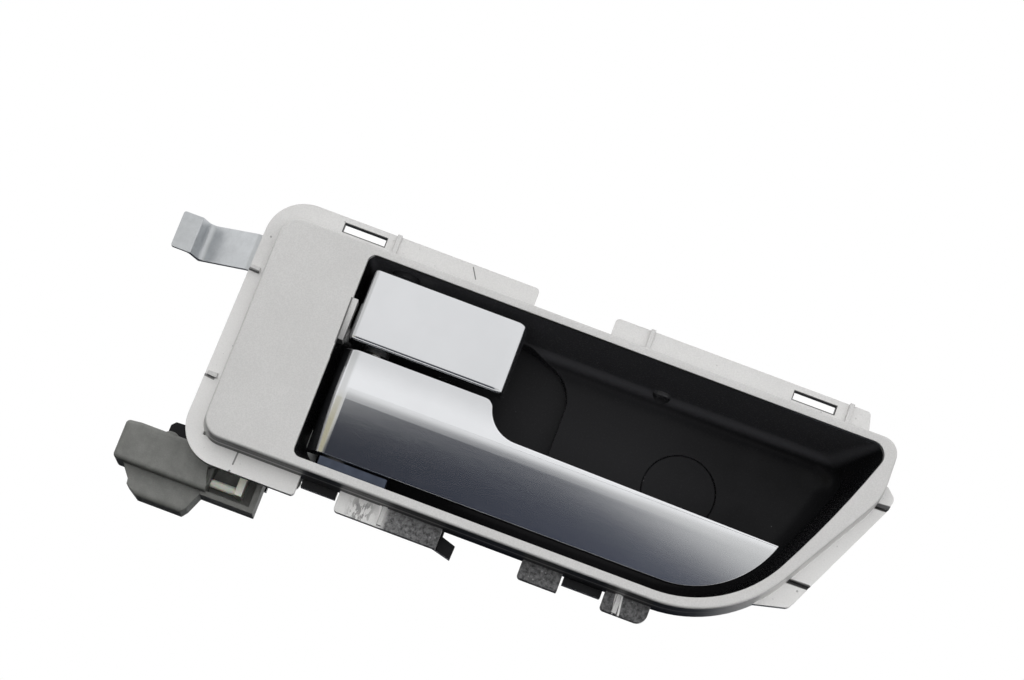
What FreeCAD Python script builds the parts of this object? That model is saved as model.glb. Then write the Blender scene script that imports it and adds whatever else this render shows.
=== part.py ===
"""Interior door handle of a car: a cast bezel, a black finger cup, a chrome pull lever and a lock lever on one
upright pin, with the cable bracket and the steel strap at the hinge end.

Millimetres. X runs along the handle from the hinge end to the grip's tip, Z is up and the cabin is towards -Y.
The origin is on the axis of the fixing screw, where the cup's boss seats on the door's inner panel, so the
panel is the plane y = 0 and every depth towards the cabin is negative.
"""
import FreeCAD, Part
import math
import os
import re
import Sketcher

os.makedirs("parts", exist_ok=True)

SIZES = {
    # depths from the inner panel
    "face_y": -36.5,
    "trim_y": -26.0,
    "flange_thickness": 2.5,
    "rim_depth": 2.2,
    "cup_floor_y": -6.0,
    "pocket_floor_y": -2.6,
    # raised plate of the bezel
    "plate_left": -131.3,
    "plate_right": 52.2,
    "plate_top": 29.7,
    "plate_bottom": -36.4,
    "plate_knee_z": 12.8,
    "plate_toe_x": 23.1,
    "plate_corner": 5.5,
    "plate_tip_corner": 5.0,
    "plate_knee_radius": 18.0,
    "plate_toe_radius": 38.0,
    "plate_draft": 6.0,
    "plate_edge_round": 0.7,
    "plate_wall": 2.0,
    "post_radius": 3.2,
    # opening in the plate
    "open_left": -105.2,
    "open_top": 27.4,
    "open_bottom": -33.6,
    "open_tip_x": 50.5,
    "open_toe_x": 20.9,
    "open_slant_radius": 280.0,
    "open_corner": 2.2,
    "open_tip_corner": 4.0,
    "open_toe_radius": 36.0,
    "divider_width": 1.6,
    "divider_depth": 7.0,
    "divider_top": 13.9,
    "divider_bottom": 1.4,
    # flange and its tabs
    "flange_left": -136.4,
    "flange_top": 36.7,
    "flange_bottom": -43.2,
    "flange_corner": 11.5,
    "flange_lean": 0.6,
    "tab_overlap": 0.5,
    "tab_corner": 1.2,
    "top_tab_end": -57.4,
    "tip_tab_start": -34.2,
    "tip_tab_end": 42.3,
    "bottom_tab_end": -101.2,
    "spring_tab_start": -89.5,
    "spring_tab_end": -59.2,
    "middle_tab_start": -35.5,
    "middle_tab_end": -23.7,
    "middle_tab_bottom": -42.7,
    "toe_tab_start": -11.0,
    "toe_tab_end": 2.2,
    "toe_tab_bottom": -42.8,
    "toe_tab_corner": 3.0,
    "slant_tab_corner": 2.0,
    "groove_width": 0.9,
    "groove_depth": 2.0,
    "upper_groove_z": 11.5,
    "lower_groove_z": -16.9,
    "slot_width": 12.4,
    "slot_height": 2.4,
    "slot_z": 33.6,
    "hinge_slot_x": -109.2,
    "tip_slot_x": 26.3,
    "rib_width": 1.4,
    "rib_height": 1.1,
    "hinge_rib_x": -99.7,
    "middle_rib_x": -23.2,
    "tip_rib_x": 36.6,
    "spring_rib_x": -76.2,
    "toe_rib_x": -7.0,
    "nub_inset": 0.4,
    "nub_length": 3.0,
    "upper_nub_z": 13.3,
    "lower_nub_z": -19.2,
    # finger cup
    "cup_wall": 1.3,
    "cup_draft": 7.0,
    "cup_fit": 0.1,
    "cup_floor_round": 7.0,
    "cup_base_corner": 9.0,
    "cup_base_toe": 33.0,
    "swing_room": 1.0,
    "pocket_left": -100.5,
    "pocket_right": -38.8,
    "pocket_top": 24.2,
    "pocket_shoulder_z": 18.7,
    "pocket_shoulder_x": -54.0,
    "pocket_bottom": -24.0,
    "pocket_round": 11.0,
    "pocket_corner": 2.0,
    "screw_hole_radius": 2.75,
    "screw_seat_radius": 6.2,
    "screw_seat_y": -2.2,
    "boss_radius": 8.0,
    "cap_radius": 10.8,
    "cap_depth": 1.6,
    "cap_gap": 0.18,
    "lens_radius": 2.7,
    "lens_x": -14.0,
    "lens_y": -10.4,
    # carrier plate behind the bezel's hinge end
    "carrier_y": -31.5,
    "carrier_thickness": 2.0,
    "carrier_gap": 0.4,
    "carrier_rib_width": 1.4,
    "carrier_rib_height": 2.4,
    "carrier_rib_top": 6.0,
    "carrier_rib_pitch": 12.3,
    "strap_boss_radius": 3.4,
    "arm_y": -6.0,
    "arm_thickness": 3.0,
    "arm_slope_left": -136.4,
    "arm_slope_right": -125.0,
    "stem_left": -123.0,
    "stem_right": -110.0,
    "tongue_thickness": 3.1,
    "tongue_length": 3.2,
    # pin, bushes and levers
    "pivot_x": -94.0,
    "pivot_y": -27.0,
    "pin_radius": 2.0,
    "pin_chamfer": 0.3,
    "lug_wall": 2.2,
    "running_fit": 0.05,
    "bush_radius": 2.8,
    "bush_flange_radius": 3.7,
    "bush_flange": 0.7,
    "hub_radius": 3.9,
    "hub_height": 6.5,
    "lever_recess": 1.5,
    "lever_left": -102.7,
    "lever_wall": 2.2,
    "lever_end_round": 2.0,
    "lock_top": 24.6,
    "lock_bottom": 2.9,
    "lock_right": -56.4,
    "lock_depth": 8.0,
    "lock_end_round": 3.4,
    "lock_edge_round": 1.2,
    "pull_top": 0.7,
    "pull_bottom": -29.6,
    "pull_shoulder_x": -58.3,
    "pull_grip_top": -8.3,
    "pull_tip_x": 29.6,
    "pull_tip_z": -9.6,
    "pull_toe_x": 22.3,
    "pull_toe_radius": 29.0,
    "pull_sweep_radius": 9.5,
    "pull_shoulder_round": 3.0,
    "pull_block_back": -29.0,
    "pull_ridge_z": -10.2,
    "pull_ridge_radius": 27.0,
    "ridge_turn": 7.0,
    "foot_turn": 17.0,
    "pull_hinge_round": 5.5,
    "pull_grip_round": 0.6,
    "hinge_block_right": -98.6,
    "hinge_block_back": -24.5,
    "lever_side_gap": 0.9,
    # return spring
    "coil_radius": 2.95,
    "spring_wire": 0.45,
    "coil_turns": 6.5,
    "lever_leg": 7.5,
    "housing_leg": 16.0,
    "leaf_thickness": 0.4,
    "leaf_width": 5.0,
    "leaf_foot_x": -72.0,
    # lower bearing block of the pin
    "bearing_left": -98.0,
    "bearing_right": -78.3,
    "bearing_front": -32.6,
    "bearing_back": -23.4,
    # release crank and its cable
    "cable_z": -37.2,
    "cable_y": -13.0,
    "crank_thickness": 1.6,
    "crank_set": -8.0,
    "crank_width": 4.0,
    "eye_set": -10.0,
    "eye_radius": 2.5,
    "eye_hole_radius": 1.3,
    "crank_room": 1.2,
    "crank_sweep": 6.4,
    "tunnel_wall": 1.3,
    "tunnel_top": -19.4,
    "tunnel_bottom": -34.2,
    "crank_arm_width": 4.8,
    "ear_length": 2.2,
    "key_width": 2.4,
    "key_depth": 2.0,
    "lock_crank_set": 5.0,
    "lock_eye_y": 3.5,
    "lock_stop_y": -18.9,
    "bumper_height": 2.4,
    "bumper_radius": 3.4,
    # cable bracket
    "shell_left": -153.2,
    "shell_right": -125.5,
    "shell_top": -37.4,
    "shell_bottom": -49.3,
    "shell_front": -20.0,
    "shell_wall": 1.6,
    "chin_bottom": -56.9,
    "chin_front": -15.6,
    "shell_edge_round": 1.3,
    "chin_edge_round": 1.6,
    "tray_right": -111.0,
    "tray_front": -16.0,
    "tray_top": -37.0,
    "tray_bottom": -50.3,
    "window_radius": 12.1,
    "window_x": -115.0,
    "window_z": -41.4,
    "retainer_left": -117.9,
    "retainer_thickness": 2.2,
    # strap
    "strap_bottom": 12.75,
    "strap_top": 23.8,
    "strap_thickness": 1.2,
    "strap_y": -25.8,
    "strap_root": -114.0,
    "strap_bend_x": -137.5,
    "strap_far_x": -152.0,
    "strap_far_y": -15.4,
    "strap_step_x": -154.4,
    "strap_step_y": -20.6,
    "strap_tip_x": -160.4,
    "strap_tip_corner": 0.8,
    "rivet_radius": 1.6,
    "rivet_head_radius": 2.6,
    "rivet_head": 1.0,
    # small screws
    "small_screw_radius": 1.5,
    "small_head_radius": 3.0,
    "small_head": 1.8,
}

doc = FreeCAD.newDocument("door_handle")
sheet = doc.addObject("Spreadsheet::Sheet", "Sizes")
for row, (alias, value) in enumerate(SIZES.items(), start=1):
    sheet.set(f"A{row}", alias)
    sheet.set(f"B{row}", str(value))
    sheet.setAlias(f"B{row}", alias)
doc.recompute()

# each sketch plane's own axes: its normal is minus Y, plus Z or plus X
PLANES = {"front": ("XZ_Plane", -1), "plan": ("XY_Plane", 1), "side": ("YZ_Plane", 1)}
pieces = []


def bound(text):
    """Point every size named in an expression at the sheet."""
    def named(word):
        return "Sizes." + word.group() if word.group() in SIZES else word.group()
    return re.sub(r"[a-z][a-z_]*", named, str(text))


def size(text):
    """The value of an expression in the sheet's sizes."""
    return float(sheet.evalExpression(bound(text)))


def settle(feature):
    """Recompute and stop if the feature has failed."""
    doc.recompute()
    if "Invalid" in feature.State or "Error" in feature.State:
        raise RuntimeError(f"{feature.Name} failed: {feature.State}")
    return feature


def new_body(name):
    """Start a piece made of sketched features."""
    body = doc.addObject("PartDesign::Body", name + "_body")
    body.Label = name
    pieces.append(body)
    return body


def sketch_on(body, name, plane, offset):
    """Attach a sketch to one of the body's own planes, at a place along that plane's axis."""
    role, sign = PLANES[plane]
    drawing = body.newObject("Sketcher::SketchObject", name + "_sketch")
    support = [item for item in body.Origin.OriginFeatures if item.Role == role][0]
    drawing.AttachmentSupport = [(support, "")]
    drawing.MapMode = "FlatFace"
    drawing.setExpression("AttachmentOffset.Base.z", bound(f"{sign} * ({offset})"))
    return drawing


def arc_centre(start, end, radius):
    """Centre of the anticlockwise arc from one point to another that bulges outwards."""
    chord = end - start
    reach = math.sqrt(radius ** 2 - (chord.Length / 2) ** 2)
    return (start + end) / 2 + FreeCAD.Vector(-chord.y, chord.x, 0).normalize() * reach


def arc_between(start, end, radius):
    """The anticlockwise arc of a radius from one point to another."""
    centre = arc_centre(start, end, radius)
    first = math.atan2(start.y - centre.y, start.x - centre.x)
    last = math.atan2(end.y - centre.y, end.x - centre.x)
    return Part.ArcOfCircle(Part.Circle(centre, FreeCAD.Vector(0, 0, 1), radius), first, last)


def fix(drawing, kind, *where):
    """Add a constraint whose value is an expression, given last."""
    place = drawing.addConstraint(Sketcher.Constraint(kind, *where[:-1], size(where[-1])))
    drawing.setExpression(f"Constraints[{place}]", bound(where[-1]))


def draw(drawing, outline):
    """Draw a closed outline, or a circle given as centre and radius, and fix it to the sheet's sizes."""
    first = drawing.GeometryCount
    if outline[0] == "circle":
        centre = FreeCAD.Vector(size(outline[1]), size(outline[2]), 0)
        drawing.addGeometry(Part.Circle(centre, FreeCAD.Vector(0, 0, 1), size(outline[3])), False)
        fix(drawing, "DistanceX", -1, 1, first, 3, outline[1])
        fix(drawing, "DistanceY", -1, 1, first, 3, outline[2])
        fix(drawing, "Radius", first, outline[3])
        return
    spots = [FreeCAD.Vector(size(corner[0]), size(corner[1]), 0) for corner in outline]
    count = len(outline)
    for i, corner in enumerate(outline):
        start, end = spots[i], spots[(i + 1) % count]
        if len(corner) == 3:
            drawing.addGeometry(arc_between(start, end, size(corner[2])), False)
        else:
            drawing.addGeometry(Part.LineSegment(start, end), False)
    for i, corner in enumerate(outline):
        drawing.addConstraint(Sketcher.Constraint("Coincident", first + i, 2, first + (i + 1) % count, 1))
        if len(corner) == 3:
            fix(drawing, "Radius", first + i, corner[2])
    for i, corner in enumerate(outline):
        fix(drawing, "DistanceX", -1, 1, first + i, 1, corner[0])
        fix(drawing, "DistanceY", -1, 1, first + i, 1, corner[1])


def extruded(kind, body, name, plane, start, end, outlines, taper=None):
    """Make a pad or a pocket of outlines between two places along the plane's axis."""
    drawing = sketch_on(body, name, plane, start)
    for outline in outlines:
        draw(drawing, outline)
    doc.recompute()
    feature = body.newObject(kind, name)
    feature.Profile = drawing
    feature.setExpression("Length", bound(f"abs(({end}) - ({start}))"))
    if taper:
        feature.setExpression("TaperAngle", bound(taper))
    along = (size(end) - size(start)) * PLANES[plane][1] > 0
    feature.Reversed = along if kind == "PartDesign::Pocket" else not along
    feature.Refine = False
    return settle(feature)


def add(body, name, plane, start, end, *outlines, taper=None):
    """Extrude outlines from one place to another along the plane's axis."""
    return extruded("PartDesign::Pad", body, name, plane, start, end, outlines, taper)


def cut(body, name, plane, start, end, *outlines, taper=None):
    """Cut outlines away from one place to another, and check that material went."""
    before = body.Tip.Shape.Volume
    feature = extruded("PartDesign::Pocket", body, name, plane, start, end, outlines, taper)
    if feature.Shape.Volume > before - 0.01:
        raise RuntimeError(f"{name} cuts nothing")
    return feature


def nearest_edges(shape, spots):
    """Names of the edges that pass closest to the given points."""
    names = []
    for spot in spots:
        point = Part.Vertex(*[size(value) for value in spot])
        gaps = [edge.distToShape(point)[0] for edge in shape.Edges]
        name = f"Edge{gaps.index(min(gaps)) + 1}"
        if name not in names:
            names.append(name)
    return names


def round_edges(body, name, radius, *spots):
    """Round the edges that pass closest to the given points."""
    base = body.Tip
    feature = body.newObject("PartDesign::Fillet", name)
    feature.Base = (base, nearest_edges(base.Shape, spots))
    feature.setExpression("Radius", bound(radius))
    return settle(feature)


def block(left, bottom, right, top):
    """A rectangle between two corners."""
    return [(left, bottom), (right, bottom), (right, top), (left, top)]


def circle(x, z, radius):
    """A round outline."""
    return ("circle", x, z, radius)


def side_directions(outline, spots, i):
    """Directions of travel at the start and the end of one side of an outline."""
    start, end = spots[i], spots[(i + 1) % len(outline)]
    heading = math.atan2(end.y - start.y, end.x - start.x)
    if len(outline[i]) < 3:
        return heading, heading
    lean = math.asin((end - start).Length / 2 / size(outline[i][2]))
    return heading - lean, heading + lean


def grown(outline, amount):
    """Move every side of an anticlockwise outline outwards by an amount, or inwards where it is negative."""
    spots = [FreeCAD.Vector(size(corner[0]), size(corner[1]), 0) for corner in outline]
    moved = []
    for i, corner in enumerate(outline):
        arriving = side_directions(outline, spots, i - 1 if i else len(outline) - 1)[1]
        leaving = side_directions(outline, spots, i)[0]
        middle = (arriving + leaving) / 2
        if abs(arriving - leaving) > math.pi:
            middle += math.pi
        stretch = 1 / math.cos((leaving - arriving) / 2)
        shift_x = abs(stretch) * math.sin(middle)
        shift_z = -abs(stretch) * math.cos(middle)
        new = [f"{corner[0]} + {shift_x:.5f} * ({amount})", f"{corner[1]} + {shift_z:.5f} * ({amount})"]
        if len(corner) == 3:
            new.append(f"{corner[2]} + ({amount})")
        moved.append(tuple(new))
    return moved


def rounding_centre(corner, sides, radius):
    """Centre of the circle that rounds a corner between two straight sides, or a straight side and an arc."""
    lines = [side for side in sides if side[2] is None]
    normals = [FreeCAD.Vector(-math.sin(side[1]), math.cos(side[1]), 0) for side in lines]
    if len(lines) == 2:
        return corner + (normals[0] + normals[1]) * (radius / (1 + normals[0].dot(normals[1])))
    centre, arc_radius = [side[2] for side in sides if side[2] is not None][0]
    along = FreeCAD.Vector(math.cos(lines[0][1]), math.sin(lines[0][1]), 0)
    base = corner + normals[0] * radius - centre
    half = base.dot(along)
    root = math.sqrt(half ** 2 - base.dot(base) + (arc_radius - radius) ** 2)
    step = min(-half + root, -half - root, key=abs)
    return centre + base + along * step


def rounded(outline, *radii):
    """Round the corners of an anticlockwise outline, each by its own radius; "0" keeps a corner sharp."""
    spots = [FreeCAD.Vector(size(corner[0]), size(corner[1]), 0) for corner in outline]
    count = len(outline)
    result = []
    for i, corner in enumerate(outline):
        radius = size(radii[i])
        if radius == 0:
            result.append(corner)
            continue
        sides = []
        for side, end in ((i - 1) % count, 1), (i, 0):
            arc = None
            if len(outline[side]) == 3:
                arc_radius = size(outline[side][2])
                arc = (arc_centre(spots[side], spots[(side + 1) % count], arc_radius), arc_radius)
            sides.append((end, side_directions(outline, spots, side)[end], arc))
        middle = rounding_centre(spots[i], sides, radius)
        for order, (end, heading, arc) in enumerate(sides):
            if arc:
                touch = arc[0] + (middle - arc[0]) * (arc[1] / (arc[1] - radius))
            else:
                touch = middle + FreeCAD.Vector(math.sin(heading), -math.cos(heading), 0) * radius
            shift = (touch - spots[i]) / radius
            point = [f"{place} + {step:.6f} * ({radii[i]})" for place, step in zip(corner, (shift.x, shift.y))]
            if order == 0:
                point.append(radii[i])
            elif len(corner) == 3:
                point.append(corner[2])
            result.append(tuple(point))
    return result


PLATE = [
    ("plate_left", "plate_bottom"),
    ("plate_toe_x", "plate_bottom"),
    ("plate_right", "plate_knee_z"),
    ("plate_right", "plate_top"),
    ("plate_left", "plate_top"),
]
PLATE_RADII = ["plate_corner", "plate_toe_radius", "plate_knee_radius", "plate_tip_corner", "plate_corner"]
OPENING = [
    ("open_left", "open_bottom"),
    ("open_toe_x", "open_bottom", "open_slant_radius"),
    ("open_tip_x", "open_top"),
    ("open_left", "open_top"),
]
OPENING_RADII = ["open_corner", "open_toe_radius", "open_tip_corner", "open_corner"]
CUP_RIM = [
    ("open_left - swing_room", "open_bottom"),
    ("open_toe_x", "open_bottom", "open_slant_radius"),
    ("open_tip_x", "open_top"),
    ("open_left - swing_room", "open_top"),
]
CUP_FRONT = "face_y + rim_depth"
POSTS = [("open_left - 5.8", "plate_top - 6.2"), ("plate_left + 8.5", "plate_bottom + 13.2")]
BUMPER_PLACE = ("lock_right - 3.6", "(lock_top + lock_bottom) / 2")
BUMPER_SEAT = "lock_stop_y + bumper_height"
CRANK_SLOT = (
    "pivot_x + crank_set - crank_width / 2 - crank_room",
    "cable_y - 3.2",
    "pivot_x + crank_sweep",
    "cable_y + 4.4",
)
CRANK_BASE = "(pull_bottom + hub_height)"
LOCK_CRANK_BASE = "(lock_bottom + hub_height)"
COIL_BOTTOM = f"({CRANK_BASE} + crank_thickness + spring_wire + 0.05)"
COIL_TOP = "(pull_top - hub_height - spring_wire - 0.1)"
STRAP_MIDDLE = "(strap_bottom + strap_top) / 2"
RIVETS = [("strap_root - 3", STRAP_MIDDLE), ("strap_root - 11", STRAP_MIDDLE)]
BRACKET_SCREWS = [("shell_left + 13.4", "shell_top - 2.4"), ("shell_left + 25.2", "shell_top - 2.4")]
LEVER_FACE = "face_y + lever_recess"


def bezel_frame():
    """The casting: raised plate with its opening, flange tabs, ribs, trim slots, posts and divider."""
    body = new_body("bezel_frame")
    add(body, "raised_plate", "front", "face_y", "trim_y", rounded(PLATE, *PLATE_RADII), taper="plate_draft")
    round_edges(body, "plate_edge", "plate_edge_round", ("plate_left", "face_y", "0"))
    front = "trim_y - flange_thickness"
    inner = "tab_overlap"
    hinge_flange = [
        ("flange_left - flange_lean", "flange_bottom"),
        ("bottom_tab_end", "flange_bottom"),
        ("bottom_tab_end", f"plate_bottom + {inner}"),
        (f"plate_left + {inner}", f"plate_bottom + {inner}"),
        (f"plate_left + {inner}", f"plate_top - {inner}"),
        ("top_tab_end", f"plate_top - {inner}"),
        ("top_tab_end", "flange_top"),
        ("flange_left + flange_lean", "flange_top"),
    ]
    add(body, "hinge_flange", "front", "trim_y", front, hinge_flange)
    round_edges(
        body, "flange_corners", "flange_corner",
        ("flange_left - flange_lean", "trim_y - 1", "flange_bottom"),
        ("flange_left + flange_lean", "trim_y - 1", "flange_top"),
    )
    tip_tab = [
        ("tip_tab_start", f"plate_top - {inner}"),
        ("tip_tab_end + 1.5", f"plate_top - {inner}"),
        ("tip_tab_end + 1", "plate_top + 2.6"),
        ("tip_tab_end", "flange_top"),
        ("tip_tab_start", "flange_top"),
    ]
    spring_tab = block("spring_tab_start", "flange_bottom", "spring_tab_end", f"plate_bottom + {inner}")
    middle_tab = block("middle_tab_start", "middle_tab_bottom", "middle_tab_end", f"plate_bottom + {inner}")
    toe_tab = block("toe_tab_start", "toe_tab_bottom", "toe_tab_end", f"plate_bottom + {inner}")
    slant_tab = [
        ("plate_toe_x + 4", "plate_bottom + 9.6"),
        ("plate_toe_x + 15.2", "plate_bottom + 12.4"),
        ("plate_right + 3.6", "plate_knee_z - 0.8"),
        ("plate_right + 4.3", "plate_knee_z + 2.8"),
        ("plate_right + 1.4", "plate_knee_z + 5.4"),
        ("plate_right - 2", "plate_knee_z + 5.4"),
    ]
    add(body, "tip_tab", "front", "trim_y", front, tip_tab, spring_tab, middle_tab, toe_tab, slant_tab)
    round_edges(body, "toe_tab_end", "toe_tab_corner", ("toe_tab_end", "trim_y - 1", "toe_tab_bottom"))
    corners = [
        ("top_tab_end", "flange_top"), ("tip_tab_start", "flange_top"), ("tip_tab_end", "flange_top"),
        ("bottom_tab_end", "flange_bottom"), ("spring_tab_start", "flange_bottom"),
        ("middle_tab_start", "middle_tab_bottom"), ("toe_tab_start", "toe_tab_bottom"),
    ]
    round_edges(body, "tab_corners", "tab_corner", *[(x, "trim_y - 1", z) for x, z in corners])
    slant_corners = [slant_tab[1], slant_tab[3]]
    round_edges(body, "slant_corners", "slant_tab_corner", *[(x, "trim_y - 1", z) for x, z in slant_corners])
    grooves = [
        block("plate_toe_x", f"{z} - groove_width / 2", "plate_right + 6", f"{z} + groove_width / 2")
        for z in ("upper_groove_z", "lower_groove_z")
    ]
    cut(body, "slant_grooves", "front", f"{front} + groove_depth", f"{front} - 0.5", *grooves)
    bezel_opening(body)
    bezel_ribs(body)
    return body


def bezel_opening(body):
    """Cut the opening, the seat of the cup, the hollow behind the plain part and the two trim slots."""
    cut(body, "opening", "front", "face_y - 1", "trim_y + 1", rounded(OPENING, *OPENING_RADII))
    beyond = "cup_wall + cup_fit"
    seat = rounded(grown(CUP_RIM, beyond), *[f"{radius} + {beyond}" for radius in OPENING_RADII])
    cut(body, "cup_seat", "front", "trim_y + 1", CUP_FRONT, seat)
    hollow = block(
        "plate_left + plate_wall", "plate_bottom + plate_wall",
        "open_left - swing_room + 0.2", "plate_top - plate_wall",
    )
    cut(body, "hinge_hollow", "front", "trim_y + 1", CUP_FRONT, hollow)
    half = "slot_width / 2"
    slots = [
        block(f"{place} - {half}", "slot_z - slot_height / 2", f"{place} + {half}", "slot_z + slot_height / 2")
        for place in ("hinge_slot_x", "tip_slot_x")
    ]
    cut(body, "trim_slots", "front", "trim_y - flange_thickness - 1", "trim_y + 1", *slots)


def bezel_ribs(body):
    """Add the ribs across the tabs, the nubs, the screw posts and the divider beside the levers."""
    front = "trim_y - flange_thickness"
    half = "rib_width / 2"
    above = [
        block(f"{x} - {half}", "plate_top + 0.5", f"{x} + {half}", "flange_top + 0.3")
        for x in ("hinge_rib_x", "middle_rib_x", "tip_rib_x")
    ]
    below = [
        block(f"{x} - {half}", "flange_bottom + 0.6", f"{x} + {half}", "plate_bottom - 0.5")
        for x in ("spring_rib_x", "toe_rib_x")
    ]
    add(body, "tab_ribs", "front", f"{front} + 0.5", f"{front} - rib_height", *above, *below)
    left = "flange_left + nub_inset"
    nubs = [
        block(left, f"{z} - {half}", f"{left} + nub_length", f"{z} + {half}")
        for z in ("upper_nub_z", "lower_nub_z")
    ]
    add(body, "edge_nubs", "front", f"{front} + 0.5", f"{front} - rib_height", *nubs)
    posts = [circle(*spot, "post_radius") for spot in POSTS]
    holes = [circle(*spot, "small_screw_radius") for spot in POSTS]
    add(body, "screw_posts", "front", f"{CUP_FRONT} - 0.5", "carrier_y", *posts)
    cut(body, "post_holes", "front", "carrier_y + 1", "carrier_y - 2.4", *holes)
    divider = block("open_left - 0.25", "divider_bottom", "open_left + divider_width", "divider_top")
    add(body, "divider", "front", "face_y + divider_depth", "face_y + 0.9", divider)


def cup_form(name, rim, floor, beyond):
    """One drafted form of the cup: corners that open out with depth, and a large rounding round the floor."""
    shrink = f"(abs(({floor}) - ({CUP_FRONT})) * {math.tan(math.radians(size('cup_draft'))):.5f})"
    base_outline = grown(rim, f"-{shrink}")
    base_radii = ["cup_base_corner", "cup_base_toe", "cup_base_corner", "cup_base_corner"]
    sections = []
    for end, depth, outline, radii in (
        ("mouth", CUP_FRONT, rim, OPENING_RADII),
        ("base", floor, base_outline, base_radii),
    ):
        section = doc.addObject("Sketcher::SketchObject", f"{name}_{end}")
        section.Placement.Rotation = FreeCAD.Rotation(FreeCAD.Vector(1, 0, 0), 90)
        section.setExpression("Placement.Base.y", bound(depth))
        draw(section, rounded(outline, *[f"{radius} + {beyond}" for radius in radii]))
        sections.append(section)
    doc.recompute()
    form = doc.addObject("Part::Loft", name)
    form.Sections = sections
    form.Solid = True
    form.Ruled = True
    settle(form)
    rounding = doc.addObject("Part::Fillet", name + "_rounded")
    rounding.Base = form
    radius = size(f"cup_floor_round + {beyond}")
    middle_bottom = ("(open_left + open_toe_x) / 2", floor, base_outline[0][1])
    edge = nearest_edges(form.Shape, [middle_bottom])[0]
    rounding.Edges = [(int(edge.removeprefix("Edge")), radius, radius)]
    settle(rounding)
    body = doc.addObject("PartDesign::Body", name + "_body")
    body.BaseFeature = rounding
    doc.recompute()
    return body


POCKET = [
    ("pocket_left", "pocket_bottom"),
    ("pocket_right", "pocket_bottom"),
    ("pocket_right", "pocket_shoulder_z"),
    ("pocket_shoulder_x", "pocket_top"),
    ("pocket_left", "pocket_top"),
]


def handle_housing():
    """The black moulding: drafted cup with its pocket, pin lugs, screw boss, carrier plate, arm and tongues."""
    body = cup_form("cup_outside", grown(CUP_RIM, "cup_wall"), "cup_floor_y + cup_wall", "cup_wall")
    body.Label = "handle_housing"
    pieces.append(body)
    walls = grown(POCKET, "cup_wall")
    corner = "pocket_corner + cup_wall"
    radii = [corner, corner, "pocket_round + cup_wall", "pocket_round", corner]
    add(
        body, "pocket_outside", "front", "cup_floor_y - 9", "pocket_floor_y + cup_wall", rounded(walls, *radii),
    )
    tunnel = block(*[f"{place} {sign} tunnel_wall" for place, sign in zip(CRANK_SLOT, "--++")])
    add(body, "crank_tunnel", "plan", "tunnel_bottom", "tunnel_top", tunnel)
    add(body, "cap_seat", "front", "cup_floor_y + 0.5", "screw_seat_y - 1", circle("0", "0", "cap_radius + 1.8"))
    add(body, "screw_boss", "front", "cup_floor_y + 0.5", "0", circle("0", "0", "boss_radius"))
    hollowed = body.newObject("PartDesign::Boolean", "cup_hollowed")
    hollowed.setObjects([cup_form("cup_inside", CUP_RIM, "cup_floor_y", "0")])
    hollowed.Type = "Cut"
    settle(hollowed)
    corner = "pocket_corner"
    inner_radii = [corner, corner, "pocket_round", "pocket_round - 1", corner]
    cut(body, "pocket_inside", "front", "cup_floor_y - 14", "pocket_floor_y", rounded(POCKET, *inner_radii))
    recess = circle("0", "0", "cap_radius + cap_gap")
    cut(body, "cap_recess", "front", "cup_floor_y - 2", "cup_floor_y + cap_depth", recess)
    cut(body, "head_recess", "front", "cup_floor_y", "screw_seat_y", circle("0", "0", "screw_seat_radius"))
    cut(body, "screw_hole", "front", "cup_floor_y", "1", circle("0", "0", "screw_hole_radius"))
    housing_carrier(body)
    housing_pivots(body)
    return body


def housing_pivots(body):
    """Add the lugs that hold the pin, the stop post of the lock lever, and the slots of the two cranks."""
    pin = circle("pivot_x", "pivot_y", "pin_radius")
    lug = circle("pivot_x", "pivot_y", "pin_radius + lug_wall")
    add(body, "top_lug", "plan", "lock_top + lever_side_gap", "open_top + 1.2", lug)
    add(body, "bottom_boss", "plan", "open_bottom", "open_bottom - 1.2", lug)
    cut(body, "top_pin_hole", "plan", "lock_top", "open_top + 0.6", pin)
    cut(body, "bottom_pin_hole", "plan", "open_bottom + 2", "open_bottom - 2", pin)
    post = circle(*BUMPER_PLACE, "bumper_radius")
    add(body, "stop_post", "front", "pocket_floor_y + 0.5", BUMPER_SEAT, post)
    rib = block("pivot_x - coil_radius + 0.6", f"{COIL_TOP} - 2.5", "pivot_x - 0.8", f"{COIL_TOP} + 2.5")
    add(body, "spring_rib", "front", "pocket_floor_y + 0.5", "pivot_y + housing_leg - 2.5", rib)
    cut(body, "crank_slot", "plan", "tunnel_top - tunnel_wall", "tunnel_bottom - 1", block(*CRANK_SLOT))
    cut(
        body, "lock_crank_slot", "front", "pocket_floor_y - 1", "pocket_floor_y + 3",
        block(
            "pivot_x - 5.4", f"{LOCK_CRANK_BASE} - crank_room",
            "pivot_x + 8.6", f"{LOCK_CRANK_BASE} + crank_thickness + crank_room",
        ),
    )
    cut(
        body, "lens_hole", "plan", "open_top - 6", "open_top + 3", circle("lens_x", "lens_y", "lens_radius"),
    )


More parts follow.
